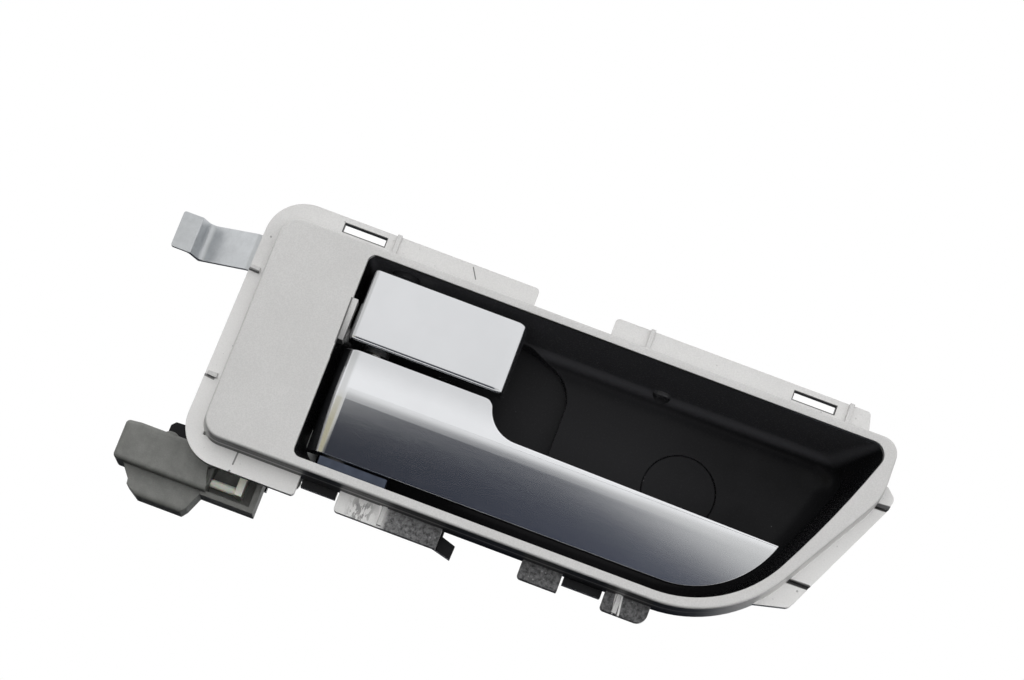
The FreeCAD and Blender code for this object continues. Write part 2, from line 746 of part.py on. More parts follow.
def housing_carrier(body):
    """Add the carrier plate behind the bezel's hinge end with its ribs and bosses, the arm and the tongues."""
    back = "carrier_y + carrier_thickness"
    inset = "(plate_wall + carrier_gap)"
    right = "open_left - swing_room - 0.6"
    plate = block(f"plate_left + {inset}", f"plate_bottom + {inset}", right, f"plate_top - {inset}")
    add(body, "carrier", "front", back, "carrier_y", plate)
    levels = [f"carrier_rib_top - {i} * carrier_rib_pitch" for i in range(3)]
    ribs = [
        block(f"plate_left + {inset}", f"{z} - carrier_rib_width / 2", right, f"{z} + carrier_rib_width / 2")
        for z in levels
    ]
    add(body, "carrier_ribs", "front", f"{back} + carrier_rib_height", f"{back} - 0.5", *ribs)
    bosses = [circle(*spot, "strap_boss_radius") for spot in RIVETS]
    add(body, "strap_bosses", "front", "strap_y", f"{back} - 0.5", *bosses)
    rivet_holes = [circle(*spot, "rivet_radius") for spot in RIVETS]
    cut(body, "rivet_holes", "front", "strap_y + 1", "carrier_y - 1", *rivet_holes)
    screw_holes = [circle(*spot, "small_screw_radius") for spot in POSTS]
    cut(body, "carrier_screw_holes", "front", f"{back} + 1", "carrier_y - 1", *screw_holes)
    stem = block("stem_left", f"plate_bottom + {inset} + 0.2", "stem_right", f"plate_bottom + {inset} + 7")
    add(body, "arm_stem", "front", "arm_y + arm_thickness", f"{back} - 0.5", stem)
    arm = [
        ("shell_left + 10.4", "shell_top - 4.2"),
        ("tray_right + 0.5", "shell_top - 4.2"),
        ("tray_right + 0.5", "shell_top + 9.4"),
        ("arm_slope_right", "shell_top + 9.4"),
        ("arm_slope_left", "shell_top + 5.7"),
        ("shell_left + 11.6", "shell_top + 5.5"),
        ("shell_left + 10.4", "shell_top + 4.2"),
    ]
    add(body, "bracket_arm", "front", "arm_y + arm_thickness", "arm_y", arm)
    cut(
        body, "bracket_screw_holes", "front", "arm_y + arm_thickness + 1", "arm_y - 1",
        *[circle(*spot, "small_screw_radius") for spot in BRACKET_SCREWS],
    )
    tongues = [
        block(f"{left} + 0.7", "plate_bottom - tongue_length", f"{right} - 0.7", "open_bottom + 0.6")
        for left, right in (("bottom_tab_end", "spring_tab_start"), ("middle_tab_end", "toe_tab_start"))
    ]
    tongue_front = "trim_y + 0.3"
    add(body, "tongues", "front", f"{tongue_front} + tongue_thickness", tongue_front, *tongues)
    hook = [
        ("spring_tab_end - 2.2", "flange_bottom + 1.6"),
        ("spring_tab_end + 4.6", "flange_bottom - 0.1"),
        ("spring_tab_end + 4.8", "flange_bottom + 3.9"),
        ("spring_tab_end + 0.6", "flange_bottom + 5.2"),
        ("spring_tab_end + 0.6", "open_bottom + 1.1"),
        ("spring_tab_end - 2.2", "open_bottom + 1.1"),
    ]
    add(body, "hook", "front", "trim_y + 9.5", "trim_y + 6", hook)


def bore_hub(body, name, low, high):
    """Add a hub around the pin between two heights and bore it for its bush."""
    add(body, name, "plan", low, high, circle("pivot_x", "pivot_y", "hub_radius"))
    cut(body, name + "_bore", "plan", high, low, circle("pivot_x", "pivot_y", "bush_radius"))


def lock_lever():
    """The upper lever: a shallow shell that turns on two hubs, its free end rounded over."""
    body = new_body("lock_lever")
    outline = block("lever_left", "lock_bottom", "lock_right", "lock_top")
    add(body, "lock_block", "front", f"{LEVER_FACE} + lock_depth", LEVER_FACE, outline)
    middle = "(lock_top + lock_bottom) / 2"
    centre = "(lever_left + lock_right) / 2"
    round_edges(body, "lock_end", "lock_end_round", ("lock_right", LEVER_FACE, middle))
    round_edges(body, "lock_hinge_end", "lever_end_round", ("lever_left", LEVER_FACE, middle))
    round_edges(
        body, "lock_edges", "lock_edge_round",
        (centre, LEVER_FACE, "lock_top"), (centre, LEVER_FACE, "lock_bottom"),
    )
    inset = "lever_wall - 0.4"
    hollow = block(
        f"lever_left + {inset}", f"lock_bottom + {inset}", f"lock_right - {inset}", f"lock_top - {inset}",
    )
    cut(body, "lock_hollow", "front", f"{LEVER_FACE} + lock_depth + 1", f"{LEVER_FACE} + lever_wall", hollow)
    bore_hub(body, "lock_lower_hub", "lock_bottom", LOCK_CRANK_BASE)
    bore_hub(body, "lock_upper_hub", "lock_top - hub_height", "lock_top")
    cut(
        body, "crank_notch", "plan", LOCK_CRANK_BASE, f"{LOCK_CRANK_BASE} - key_depth",
        crank_key("hub_radius + 0.5"),
    )
    return body


# the pull lever's section turns away from its flat face over a ridge, then more slowly over a bowed foot
RIDGE_END = (
    f"({LEVER_FACE} + pull_ridge_radius * (1 - cos(ridge_turn)))",
    "(pull_ridge_z - pull_ridge_radius * sin(ridge_turn))",
)
FOOT_Z = "(pull_bottom - 2)"
FOOT_RADIUS = f"(({RIDGE_END[1]} - {FOOT_Z}) / (sin(foot_turn) - sin(ridge_turn)))"
FOOT_Y = f"({RIDGE_END[0]} + {FOOT_RADIUS} * (cos(ridge_turn) - cos(foot_turn)))"


def pull_section():
    """Section across the pull lever: flat face, ridge and bowed foot, with a plain inner side."""
    inner = "lever_wall * 1.03"
    return [
        (LEVER_FACE, "pull_top + 2"),
        (LEVER_FACE, "pull_ridge_z", "pull_ridge_radius"),
        (*RIDGE_END, FOOT_RADIUS),
        (FOOT_Y, FOOT_Z),
        (f"{FOOT_Y} + {inner}", FOOT_Z),
        (f"{RIDGE_END[0]} + {inner}", RIDGE_END[1]),
        (f"{LEVER_FACE} + {inner}", "pull_ridge_z"),
        (f"{LEVER_FACE} + {inner}", "pull_top + 2"),
    ]


PULL_OUTLINE = [
    ("lever_left", "pull_bottom"),
    ("pull_toe_x", "pull_bottom"),
    ("pull_tip_x", "pull_tip_z"),
    ("pull_tip_x", "pull_top"),
    ("lever_left", "pull_top"),
]
ABOVE_GRIP = [
    ("pull_shoulder_x", "pull_grip_top"),
    ("pull_tip_x + 5", "pull_tip_z + 5 * (pull_tip_z - pull_grip_top) / (pull_tip_x - pull_shoulder_x)"),
    ("pull_tip_x + 5", "pull_top + 5"),
    ("pull_shoulder_x", "pull_top + 5"),
]


def pull_lever():
    """The lower lever: a bent band cut to the grip's outline, with a deeper shoulder over its two hubs."""
    body = new_body("pull_lever")
    add(body, "band", "side", "lever_left - 1", "pull_tip_x + 1", pull_section())
    shoulder = block("lever_left - 1", "pull_grip_top - 5", "pull_shoulder_x + 12", "pull_top + 2")
    add(body, "shoulder_block", "front", "pull_block_back", f"{LEVER_FACE} + 1", shoulder)
    hinge_block = [
        (f"{LEVER_FACE} + lever_wall / 2", "pull_ridge_z"),
        (f"{FOOT_Y} + lever_wall / 2", FOOT_Z),
        ("hinge_block_back", FOOT_Z),
        ("hinge_block_back", "pull_ridge_z"),
    ]
    add(body, "hinge_block", "side", "lever_left - 1", "hinge_block_right", hinge_block)
    around = block("lever_left - 5", "pull_bottom - 5", "pull_tip_x + 5", "pull_top + 5")
    front, back = f"{LEVER_FACE} - 5", "pull_block_back + 8"
    outline = rounded(PULL_OUTLINE, "0", "pull_toe_radius", "0", "0", "0")
    cut(body, "outline", "front", front, back, around, outline)
    cut(body, "above_grip", "front", front, back, rounded(ABOVE_GRIP, "pull_sweep_radius", "0", "0", "0"))
    round_edges(
        body, "corners", "pull_shoulder_round", ("pull_shoulder_x", f"{LEVER_FACE} + 4", "pull_top"),
    )
    round_edges(body, "hinge_edge", "pull_hinge_round", ("lever_left", LEVER_FACE, "pull_top - 4"))
    round_edges(body, "grip_edge", "pull_grip_round", ("pull_shoulder_x", LEVER_FACE, "pull_top - 4.5"))
    inset = "lever_wall - 0.4"
    hollow = [
        (f"lever_left + {inset}", "pull_grip_top - 3"),
        (f"pull_shoulder_x - {inset}", "pull_grip_top - 3"),
        (f"pull_shoulder_x - {inset}", f"pull_top - {inset}"),
        (f"lever_left + {inset}", f"pull_top - {inset}"),
    ]
    cut(body, "shoulder_hollow", "front", "pull_block_back + 1", f"{LEVER_FACE} + lever_wall", hollow)
    room = circle("pivot_x", "pivot_y", "coil_radius + spring_wire + 0.6")
    cut(body, "coil_room", "plan", "pull_grip_top", "pull_grip_top - 6", room)
    bore_hub(body, "pull_upper_hub", "pull_top - hub_height", "pull_top")
    bore_hub(body, "pull_lower_hub", "pull_bottom", CRANK_BASE)
    cut(body, "crank_notch", "plan", CRANK_BASE, f"{CRANK_BASE} - key_depth", crank_key("hub_radius + 0.5"))
    return body


def crank_key(reach):
    """The key between a crank and its hub, seen along the pin, from the bush out to a reach."""
    half = "key_width / 2"
    return block(f"pivot_x - {half}", "pivot_y + bush_radius", f"pivot_x + {half}", f"pivot_y + {reach}")


def bush(name, seat, outward):
    """A flanged bush pressed into a hub; outward is +1 where its flange lies on top of the hub, or -1 below."""
    body = new_body(name)
    ring = circle("pivot_x", "pivot_y", "bush_radius")
    collar = circle("pivot_x", "pivot_y", "bush_flange_radius")
    bore = circle("pivot_x", "pivot_y", "pin_radius + running_fit")
    add(body, name + "_sleeve", "plan", f"{seat} - {outward} * hub_height", seat, ring)
    add(body, name + "_collar", "plan", seat, f"{seat} + {outward} * bush_flange", collar)
    cut(body, name + "_bore", "plan", f"{seat} + {outward} * 2", f"{seat} - {outward} * (hub_height + 1)", bore)
    return body


def pivot_pin():
    """The steel pin that both levers turn on, its ends chamfered."""
    body = new_body("pivot_pin")
    add(body, "pin", "plan", "open_bottom - 0.9", "open_top + 0.5", circle("pivot_x", "pivot_y", "pin_radius"))
    base = body.Tip
    feature = body.newObject("PartDesign::Chamfer", "pin_ends")
    ends = [("pivot_x - pin_radius", "pivot_y", height) for height in ("open_bottom - 0.9", "open_top + 0.5")]
    feature.Base = (base, nearest_edges(base.Shape, ends))
    feature.setExpression("Size", bound("pin_chamfer"))
    settle(feature)
    return body


def lower_bearing():
    """The grey block under the pull lever that holds the pin's lower end and stands on the cup's wall."""
    body = new_body("lower_bearing")
    slope = f"{math.tan(math.radians(size('cup_draft'))):.5f}"
    wall = [f"open_bottom + ({y} - ({CUP_FRONT})) * {slope} + 0.02" for y in ("bearing_front", "bearing_back")]
    top = "pull_bottom - lever_side_gap"
    profile = [
        ("bearing_front", wall[0]), ("bearing_back", wall[1]), ("bearing_back", top), ("bearing_front", top),
    ]
    add(body, "bearing", "side", "bearing_left", "bearing_right", profile)
    hole = circle("pivot_x", "pivot_y", "pin_radius")
    cut(body, "bearing_hole", "plan", f"{top} + 1", "open_bottom - 1", hole)
    return body


def crank_ring(body, name, base):
    """The ring of a crank on top of its hub, with the key that goes down into the hub's notch."""
    centre = ("pivot_x", "pivot_y")
    add(body, name + "_ring", "plan", base, f"{base} + crank_thickness", circle(*centre, "hub_radius - 0.8"))
    add(body, name + "_key", "plan", f"{base} - key_depth", f"{base} + 0.5", crank_key("hub_radius"))


def crank_bore(body, name, base):
    """Clear the pin through a crank."""
    clear = circle("pivot_x", "pivot_y", "pin_radius + 0.4")
    cut(body, name + "_bore", "plan", f"{base} + crank_thickness + 1", f"{base} - key_depth - 1", clear)


def release_crank():
    """The crank of the pull lever: arm, spring ear, limb down through the cup's tunnel, eye for the cable."""
    body = new_body("release_crank")
    top = f"({CRANK_BASE} + crank_thickness)"
    left = "pivot_x + crank_set - crank_width / 2"
    right = "pivot_x + crank_set + crank_width / 2"
    half = "crank_arm_width / 2"
    crank_ring(body, "release", CRANK_BASE)
    arm = [
        (f"pivot_x - {half}", "pivot_y"),
        (f"pivot_x + {half}", "pivot_y"),
        (f"pivot_x + {half}", "pivot_y + lever_leg - 0.5"),
        (right, "cable_y + crank_thickness / 2"),
        (left, "cable_y + crank_thickness / 2"),
    ]
    add(body, "release_arm", "plan", CRANK_BASE, top, arm)
    ear = block(
        f"pivot_x + {half} - crank_thickness", "pivot_y + lever_leg - ear_length - 0.5",
        f"pivot_x + {half}", "pivot_y + lever_leg - 0.5",
    )
    add(body, "spring_ear", "plan", f"{CRANK_BASE} + 0.5", f"{top} + ear_length", ear)
    limb = block(left, "cable_y - crank_thickness / 2", right, "cable_y + crank_thickness / 2")
    add(body, "limb", "plan", top, "cable_z + 1", limb)
    front, back = "cable_y - crank_thickness / 2", "cable_y + crank_thickness / 2"
    eye = ("pivot_x + eye_set", "cable_z")
    add(body, "eye", "front", back, front, circle(*eye, "eye_radius"))
    cut(body, "eye_hole", "front", f"{back} + 1", f"{front} - 1", circle(*eye, "eye_hole_radius"))
    crank_bore(body, "release", CRANK_BASE)
    return body


def lock_crank():
    """The crank of the lock lever: a flat arm back through the cup's floor, with an eye for the lock rod."""
    body = new_body("lock_crank")
    top = f"{LOCK_CRANK_BASE} + crank_thickness"
    half = "crank_arm_width / 2"
    crank_ring(body, "lock", LOCK_CRANK_BASE)
    arm = [
        (f"pivot_x - {half}", "pivot_y"),
        (f"pivot_x + {half}", "pivot_y"),
        ("pivot_x + lock_crank_set + 2.2", "lock_eye_y"),
        ("pivot_x + lock_crank_set - 2.2", "lock_eye_y"),
    ]
    add(body, "lock_arm", "plan", LOCK_CRANK_BASE, top, arm)
    eye = ("pivot_x + lock_crank_set", "lock_eye_y")
    add(body, "lock_eye", "plan", LOCK_CRANK_BASE, top, circle(*eye, "eye_radius"))
    cut(body, "lock_eye_hole", "plan", f"{top} + 1", f"{LOCK_CRANK_BASE} - 1", circle(*eye, "eye_hole_radius"))
    crank_bore(body, "lock", LOCK_CRANK_BASE)
    return body


def lever_return_spring():
    """The torsion spring round the pin: left-handed coils, one leg on the crank's ear, one on the cup's rib."""
    body = new_body("lever_return_spring")
    drawing = sketch_on(body, "wire", "front", "pivot_y")
    drawing.setExpression("AttachmentOffset.Base.x", bound("pivot_x"))
    draw(drawing, circle("coil_radius", COIL_BOTTOM, "spring_wire"))
    doc.recompute()
    coil = body.newObject("PartDesign::AdditiveHelix", "coil")
    coil.Profile = drawing
    coil.ReferenceAxis = (drawing, ["V_Axis"])
    coil.Mode = "height-turns-angle"
    coil.setExpression("Height", bound(f"{COIL_TOP} - {COIL_BOTTOM}"))
    coil.setExpression("Turns", bound("coil_turns"))
    coil.LeftHanded = True
    settle(coil)
    lever_leg = circle("pivot_x + coil_radius", COIL_BOTTOM, "spring_wire")
    housing_leg = circle("pivot_x - coil_radius", COIL_TOP, "spring_wire")
    add(body, "lever_leg", "front", "pivot_y", "pivot_y + lever_leg", lever_leg)
    add(body, "housing_leg", "front", "pivot_y", "pivot_y + housing_leg", housing_leg)
    return body


def strip(points, thickness):
    """Outline of a bent strip: one side through the given points, the other a thickness to its left."""
    spots = [FreeCAD.Vector(size(x), size(y), 0) for x, y in points]
    headings = [math.atan2(b.y - a.y, b.x - a.x) for a, b in zip(spots, spots[1:])]
    other = []
    for i, (x, y) in enumerate(points):
        before = headings[max(i - 1, 0)]
        after = headings[min(i, len(headings) - 1)]
        middle = (before + after) / 2
        stretch = 1 / math.cos((after - before) / 2)
        shift_x, shift_y = -stretch * math.sin(middle), stretch * math.cos(middle)
        other.append((f"{x} + {shift_x:.5f} * ({thickness})", f"{y} + {shift_y:.5f} * ({thickness})"))
    return points + other[::-1]


def lock_detent_spring():
    """The leaf that bears on the side of the lock crank, its foot on the floor of the cup's pocket."""
    body = new_body("lock_detent_spring")
    touch_x = "pivot_x + crank_arm_width / 2 + 2.4"
    points = [
        ("leaf_foot_x", "pocket_floor_y"),
        ("leaf_foot_x - 4", "pocket_floor_y"),
        ("leaf_foot_x - 11", "pocket_floor_y - 8.6"),
        (touch_x, "pocket_floor_y - 10.8"),
        (f"{touch_x} + 1.2", "pocket_floor_y - 13"),
    ]
    middle = f"{LOCK_CRANK_BASE} + crank_thickness / 2"
    add(
        body, "leaf", "plan", f"{middle} - leaf_width / 2", f"{middle} + leaf_width / 2",
        strip(points, "leaf_thickness"),
    )
    return body


def lock_bumper():
    """The rubber disc on the stop post that ends the lock lever's travel."""
    body = new_body("lock_bumper")
    add(body, "bumper", "front", BUMPER_SEAT, "lock_stop_y", circle(*BUMPER_PLACE, "bumper_radius"))
    edge = (f"{BUMPER_PLACE[0]} - bumper_radius", "lock_stop_y", BUMPER_PLACE[1])
    round_edges(body, "bumper_edge", "0.6", edge)
    return body


def screw_cap():
    """The snap-in cap over the fixing screw, with the ring that grips in the head's recess."""
    body = new_body("screw_cap")
    back = "cup_floor_y + cap_depth"
    add(body, "cap_disc", "front", back, "cup_floor_y", circle("0", "0", "cap_radius"))
    round_edges(body, "cap_edge", "0.4", ("-cap_radius", "cup_floor_y", "0"))
    ring = circle("0", "0", "screw_seat_radius - cap_gap")
    bore = circle("0", "0", "screw_seat_radius - cap_gap - 1.2")
    add(body, "cap_ring", "front", "screw_seat_y - 0.7", f"{back} - 0.4", ring)
    cut(body, "cap_ring_bore", "front", "screw_seat_y", back, bore)
    return body


def light_lens():
    """The clear end of the light guide in the top wall of the cup."""
    body = new_body("light_lens")
    guide = circle("lens_x", "lens_y", "lens_radius - 0.05")
    add(body, "guide", "plan", "open_top - 3.9", "open_top + 1.6", guide)
    round_edges(body, "guide_end", "0.5", ("lens_x - lens_radius", "lens_y", "open_top - 3.9"))
    return body


STRAP = [
    ("strap_tip_x", "strap_step_y"),
    ("strap_step_x", "strap_step_y"),
    ("strap_far_x", "strap_far_y"),
    ("strap_bend_x", "strap_y"),
    ("strap_root", "strap_y"),
]


def retaining_strap():
    """The bent steel strap at the hinge end, riveted to the carrier plate."""
    body = new_body("retaining_strap")
    outline = strip(STRAP, "strap_thickness")
    add(body, "strap", "plan", "strap_bottom", "strap_top", outline)
    inner = [outline[i] for i in (1, 7, 3)]
    outer = [outline[i] for i in (8, 2, 6)]
    round_edges(body, "inner_bends", "strap_thickness / 2", *[(x, y, STRAP_MIDDLE) for x, y in inner])
    round_edges(body, "outer_bends", "strap_thickness * 1.5", *[(x, y, STRAP_MIDDLE) for x, y in outer])
    tip_middle = "strap_step_y + strap_thickness / 2"
    round_edges(
        body, "tip_corners", "strap_tip_corner",
        ("strap_tip_x", tip_middle, "strap_bottom"), ("strap_tip_x", tip_middle, "strap_top"),
    )
    holes = [circle(*spot, "rivet_radius") for spot in RIVETS]
    cut(body, "strap_holes", "front", "strap_y + strap_thickness + 1", "strap_y - 1", *holes)
    return body


def headed(name, spots, shank, head, seat, end, thickness):
    """Like fasteners: a shank from under the head to its end, and a head that lies on its seat."""
    body = new_body(name)
    side = 1 if size(seat) > size(end) else -1
    top = f"{seat} + {side} * ({thickness})"
    shanks = [circle(*spot, shank) for spot in spots]
    add(body, name + "_shanks", "front", end, f"{seat} + {side} * 0.2", *shanks)
    add(body, name + "_heads", "front", seat, top, *[circle(*spot, head) for spot in spots])
    edges = [(f"{x} - {head}", top, z) for x, z in spots]
    round_edges(body, name + "_edges", f"({thickness}) / 2", *edges)
    return body


def strap_rivets():
    """The two rivets through the strap and the carrier plate, closed by a second head in front."""
    fit = "rivet_radius - 0.03"
    end = "carrier_y - rivet_head"
    back = "strap_y + strap_thickness"
    body = headed("strap_rivets", RIVETS, fit, "rivet_head_radius", back, end, "rivet_head")
    heads = [circle(*spot, "rivet_head_radius") for spot in RIVETS]
    add(body, "closed_heads", "front", "carrier_y", end, *heads)
    return body


def small_screws():
    """The screws of the carrier plate and of the cable bracket."""
    fit = "small_screw_radius - 0.03"
    head = "small_head_radius"
    back = "carrier_y + carrier_thickness"
    headed("housing_screws", POSTS, fit, head, back, "carrier_y - 2.2", "small_head")
    back = "arm_y + arm_thickness"
    headed("bracket_screws", BRACKET_SCREWS, fit, head, back, "arm_y - 6", "small_head")


SHELL = [
    ("shell_left", "shell_bottom"),
    ("shell_right", "shell_bottom"),
    ("shell_right", "shell_top"),
    ("shell_left + 4.2", "shell_top"),
    ("shell_left", "shell_top - 0.5"),
]
CHIN = [
    ("shell_left + 2.3", "shell_bottom + 0.8"),
    ("shell_left + 5.9", "shell_bottom - 3.8"),
    ("shell_left + 6.1", "shell_bottom - 5.3"),
    ("shell_left + 9.7", "chin_bottom"),
    ("shell_right - 4.7", "chin_bottom"),
    ("shell_right - 3.4", "chin_bottom + 1.7"),
    ("shell_right - 0.6", "shell_bottom + 0.8"),
]


def cable_bracket():
    """The grey bracket behind the hinge end: hollow shell, chin below it and open tray for the cable's end."""
    body = new_body("cable_bracket")
    back = "arm_y"
    tray = block("shell_right - shell_wall", "tray_bottom", "tray_right", "tray_top")
    add(body, "shell", "front", back, "shell_front", SHELL)
    middle = "(shell_left + shell_right) / 2"
    round_edges(
        body, "shell_edges", "shell_edge_round",
        (middle, "shell_front", "shell_bottom"), (middle, "shell_front", "shell_top"),
        ("shell_left", "shell_front", "(shell_top + shell_bottom) / 2"),
        ("shell_left + 2.1", "shell_front", "shell_top - 0.25"),
        ("shell_left", "shell_front + 5", "shell_bottom"),
        ("shell_left", "shell_front + 5", "shell_top - 0.5"),
    )
    add(body, "chin", "front", back, "chin_front", CHIN)
    round_edges(body, "chin_edge", "chin_edge_round", (middle, "chin_front", "chin_bottom"))
    cut(body, "shell_hollow", "front", f"{back} + 1", "shell_front + shell_wall", grown(SHELL, "-shell_wall"))
    cut(body, "chin_hollow", "front", f"{back} + 1", "chin_front + shell_wall", grown(CHIN, "-shell_wall"))
    add(body, "tray", "front", back, "tray_front", tray)
    inside = block(
        "shell_right", "tray_bottom + shell_wall", "tray_right - shell_wall", "tray_top - shell_wall",
    )
    floor = f"{back} - shell_wall"
    cut(body, "tray_inside", "front", "shell_front - 1", floor, inside)
    window = circle("window_x", "window_z", "window_radius")
    cut(body, "window", "front", "shell_front - 1", "tray_front", window)
    slit = block("tray_right - 3", "cable_z - 1.3", "tray_right + 1", "cable_z + 1.3")
    cut(body, "cable_slit", "front", "tray_front - 1", "cable_y + 1.3", slit)
    bosses = [circle(*spot, "small_head_radius") for spot in BRACKET_SCREWS]
    holes = [circle(*spot, "small_screw_radius") for spot in BRACKET_SCREWS]
    add(body, "screw_bosses", "front", back, "shell_front + 0.5", *bosses)
    cut(body, "screw_holes", "front", f"{back} + 1", f"{back} - 7", *holes)
    right = "retainer_left + retainer_thickness + 0.2"
    notch = block("retainer_left - 0.2", "tray_top - 3", right, "tray_top + 1")
    cut(body, "retainer_notch", "front", "tray_front - 1", floor, notch)
    return body


def cable_retainer():
    """The nylon plate that holds the cable's sleeve in the tray, with a round lug towards the shell."""
    body = new_body("cable_retainer")
    right = "retainer_left + retainer_thickness"
    back = "arm_y - shell_wall"
    plate = block("retainer_left", "tray_bottom + shell_wall + 1.8", right, "tray_top + 2.2")
    add(body, "plate", "front", back, "tray_front", plate)
    lug = circle("cable_y", "tray_bottom + shell_wall + 3", "1.2")
    add(body, "lug", "side", "shell_right + 0.1", "retainer_left + 0.5", lug)
    slit = block("retainer_left - 1", "cable_z - 1.3", f"{right} + 1", "cable_z + 1.3")
    cut(body, "sleeve_slit", "front", "tray_front - 1", "cable_y + 1.3", slit)
    return body


def finish():
    """Check every piece and write its file."""
    for piece in pieces:
        piece.Tip.Refine = True
    doc.recompute()
    for item in doc.Objects:
        if "Invalid" in item.State or "Error" in item.State:
            raise RuntimeError(f"{item.Name} is {item.State}")
    for piece in pieces:
        shape = piece.Shape
        if shape.isNull() or not shape.isValid():
            raise RuntimeError(f"{piece.Label} has no valid shape")
        shape.exportStep(f"parts/{piece.Label}.step")
        print(piece.Label, len(shape.Solids), round(shape.Volume, 1))


def main():
    """Build every piece in turn, then check and write them."""
    bezel_frame()
    handle_housing()
    lock_lever()
    pull_lever()
    bush("lock_bush_upper", "lock_top", 1)
    bush("lock_bush_lower", "lock_bottom", -1)
    bush("lever_bush_upper", "pull_top", 1)
    bush("lever_bush_lower", "pull_bottom", -1)
    pivot_pin()
    lower_bearing()
    release_crank()
    lock_crank()
    lever_return_spring()
    lock_detent_spring()
    lock_bumper()
    screw_cap()
    light_lens()
    retaining_strap()
    strap_rivets()
    small_screws()
    cable_bracket()
    cable_retainer()
    finish()


main()
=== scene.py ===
"""Dress of the interior door handle: surfaces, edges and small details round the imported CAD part.

Metres, in the part's own frame: X along the handle towards the grip's tip, Y through the door, Z up.
"""
import math
import bmesh
import bpy
from bpy.props import FloatProperty, FloatVectorProperty, PointerProperty
from mathutils import Matrix, Vector
from mathutils.bvhtree import BVHTree
from mathutils.geometry import barycentric_transform


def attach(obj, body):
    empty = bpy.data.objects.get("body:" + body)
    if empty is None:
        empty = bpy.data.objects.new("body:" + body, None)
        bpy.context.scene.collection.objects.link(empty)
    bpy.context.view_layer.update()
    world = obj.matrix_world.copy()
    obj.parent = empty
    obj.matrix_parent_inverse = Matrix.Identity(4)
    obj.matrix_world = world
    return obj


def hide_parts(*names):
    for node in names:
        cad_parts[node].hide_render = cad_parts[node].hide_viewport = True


bl_info = {
    "name": "Door handle dress",
    "version": (1, 0, 0),
    "blender": (4, 5, 0),
    "location": "View3D > Sidebar > Handle",
    "description": "Surfaces, edges and stage of a car interior door handle",
    "category": "Object",
}

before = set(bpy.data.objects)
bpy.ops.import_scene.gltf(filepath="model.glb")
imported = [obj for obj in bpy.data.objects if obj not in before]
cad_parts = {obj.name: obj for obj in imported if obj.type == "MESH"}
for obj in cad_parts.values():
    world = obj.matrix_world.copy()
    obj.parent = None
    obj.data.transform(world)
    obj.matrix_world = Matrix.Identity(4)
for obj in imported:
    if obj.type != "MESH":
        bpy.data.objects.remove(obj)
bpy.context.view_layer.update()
MM = 0.001
WHITE = (1.0, 1.0, 1.0, 1.0)


# properties

def colour(name, description, default):
    """A colour that the user may change."""
    return FloatVectorProperty(name=name, description=description, subtype="COLOR", size=3, min=0.0, max=1.0,
                               default=default)


def length(name, description, default):
    """A length in metres that the user may change."""
    return FloatProperty(name=name, description=description, unit="LENGTH", precision=5, min=0.0, default=default)


def share(name, description, default):
    """A value from 0 to 1 that the user may change."""
    return FloatProperty(name=name, description=description, subtype="FACTOR", min=0.0, max=1.0, default=default)


def angle(name, description, degrees):
    """An angle that the user may change."""
    return FloatProperty(name=name, description=description, unit="ROTATION", default=math.radians(degrees))


class HANDLE_PG_bezel(bpy.types.PropertyGroup):
    """Finish of the cast bezel."""
    paint: colour("Paint", "Light grey lacquer of the plate and tabs", (0.57, 0.566, 0.56))
    # Colour of the unpainted tabs, also used for painted shade on the plate's lower side, in the slots, gaps and
    # grooves, and for the dark scores.
    bare_and_shade: colour("Bare casting", "Dark metal of the tabs below the opening", (0.09, 0.09, 0.092))
    roughness: share("Roughness", "Roughness of the lacquer", 0.42)
    grain: length("Grain", "Size of the lacquer's grain", 0.0004)
    edge: length("Edge round", "Round of the casting's edges", 0.00018)


class HANDLE_PG_levers(bpy.types.PropertyGroup):
    """Finish of the two levers."""
    chrome: colour("Chrome", "Colour of the satin chrome", (0.80, 0.81, 0.83))
    roughness: share("Roughness", "Roughness of the satin chrome", 0.17)
    edge: length("Edge round", "Round of the levers' edges", 0.00025)


class HANDLE_PG_moulding(bpy.types.PropertyGroup):
    """Finish of the black moulding and its cap."""
    black: colour("Black", "Colour of the gloss black moulding", (0.011, 0.011, 0.012))
    roughness: share("Roughness", "Roughness of the gloss black", 0.22)
    edge: length("Edge round", "Round of the moulding's edges", 0.00015)


class HANDLE_PG_hardware(bpy.types.PropertyGroup):
    """Finish of the pin, cranks, springs, screws, rivets and strap."""
    steel: colour("Steel", "Colour of the bright steel", (0.62, 0.61, 0.60))
    plated: colour("Plated steel", "Colour of the zinc plated steel", (0.56, 0.57, 0.56))
    strap: colour("Strap", "Colour of the strap's bluish zinc", (0.65, 0.67, 0.69))
    nylon: colour("Nylon", "Colour of the bushes", (0.022, 0.022, 0.024))
    bearing: colour("Bearing", "Colour of the bearing block", (0.05, 0.06, 0.085))
    rubber: colour("Rubber", "Colour of the rubber stop", (0.02, 0.02, 0.02))


class HANDLE_PG_bracket(bpy.types.PropertyGroup):
    """Finish of the cable bracket and its retainer."""
    grey: colour("Grey", "Colour of the bracket's moulded grey", (0.165, 0.168, 0.158))
    cream: colour("Cream", "Colour of the nylon retainer", (0.95, 0.95, 0.80))
    roughness: share("Roughness", "Roughness of the moulded grey", 0.55)
    edge: length("Edge round", "Round of the bracket's edges", 0.0002)


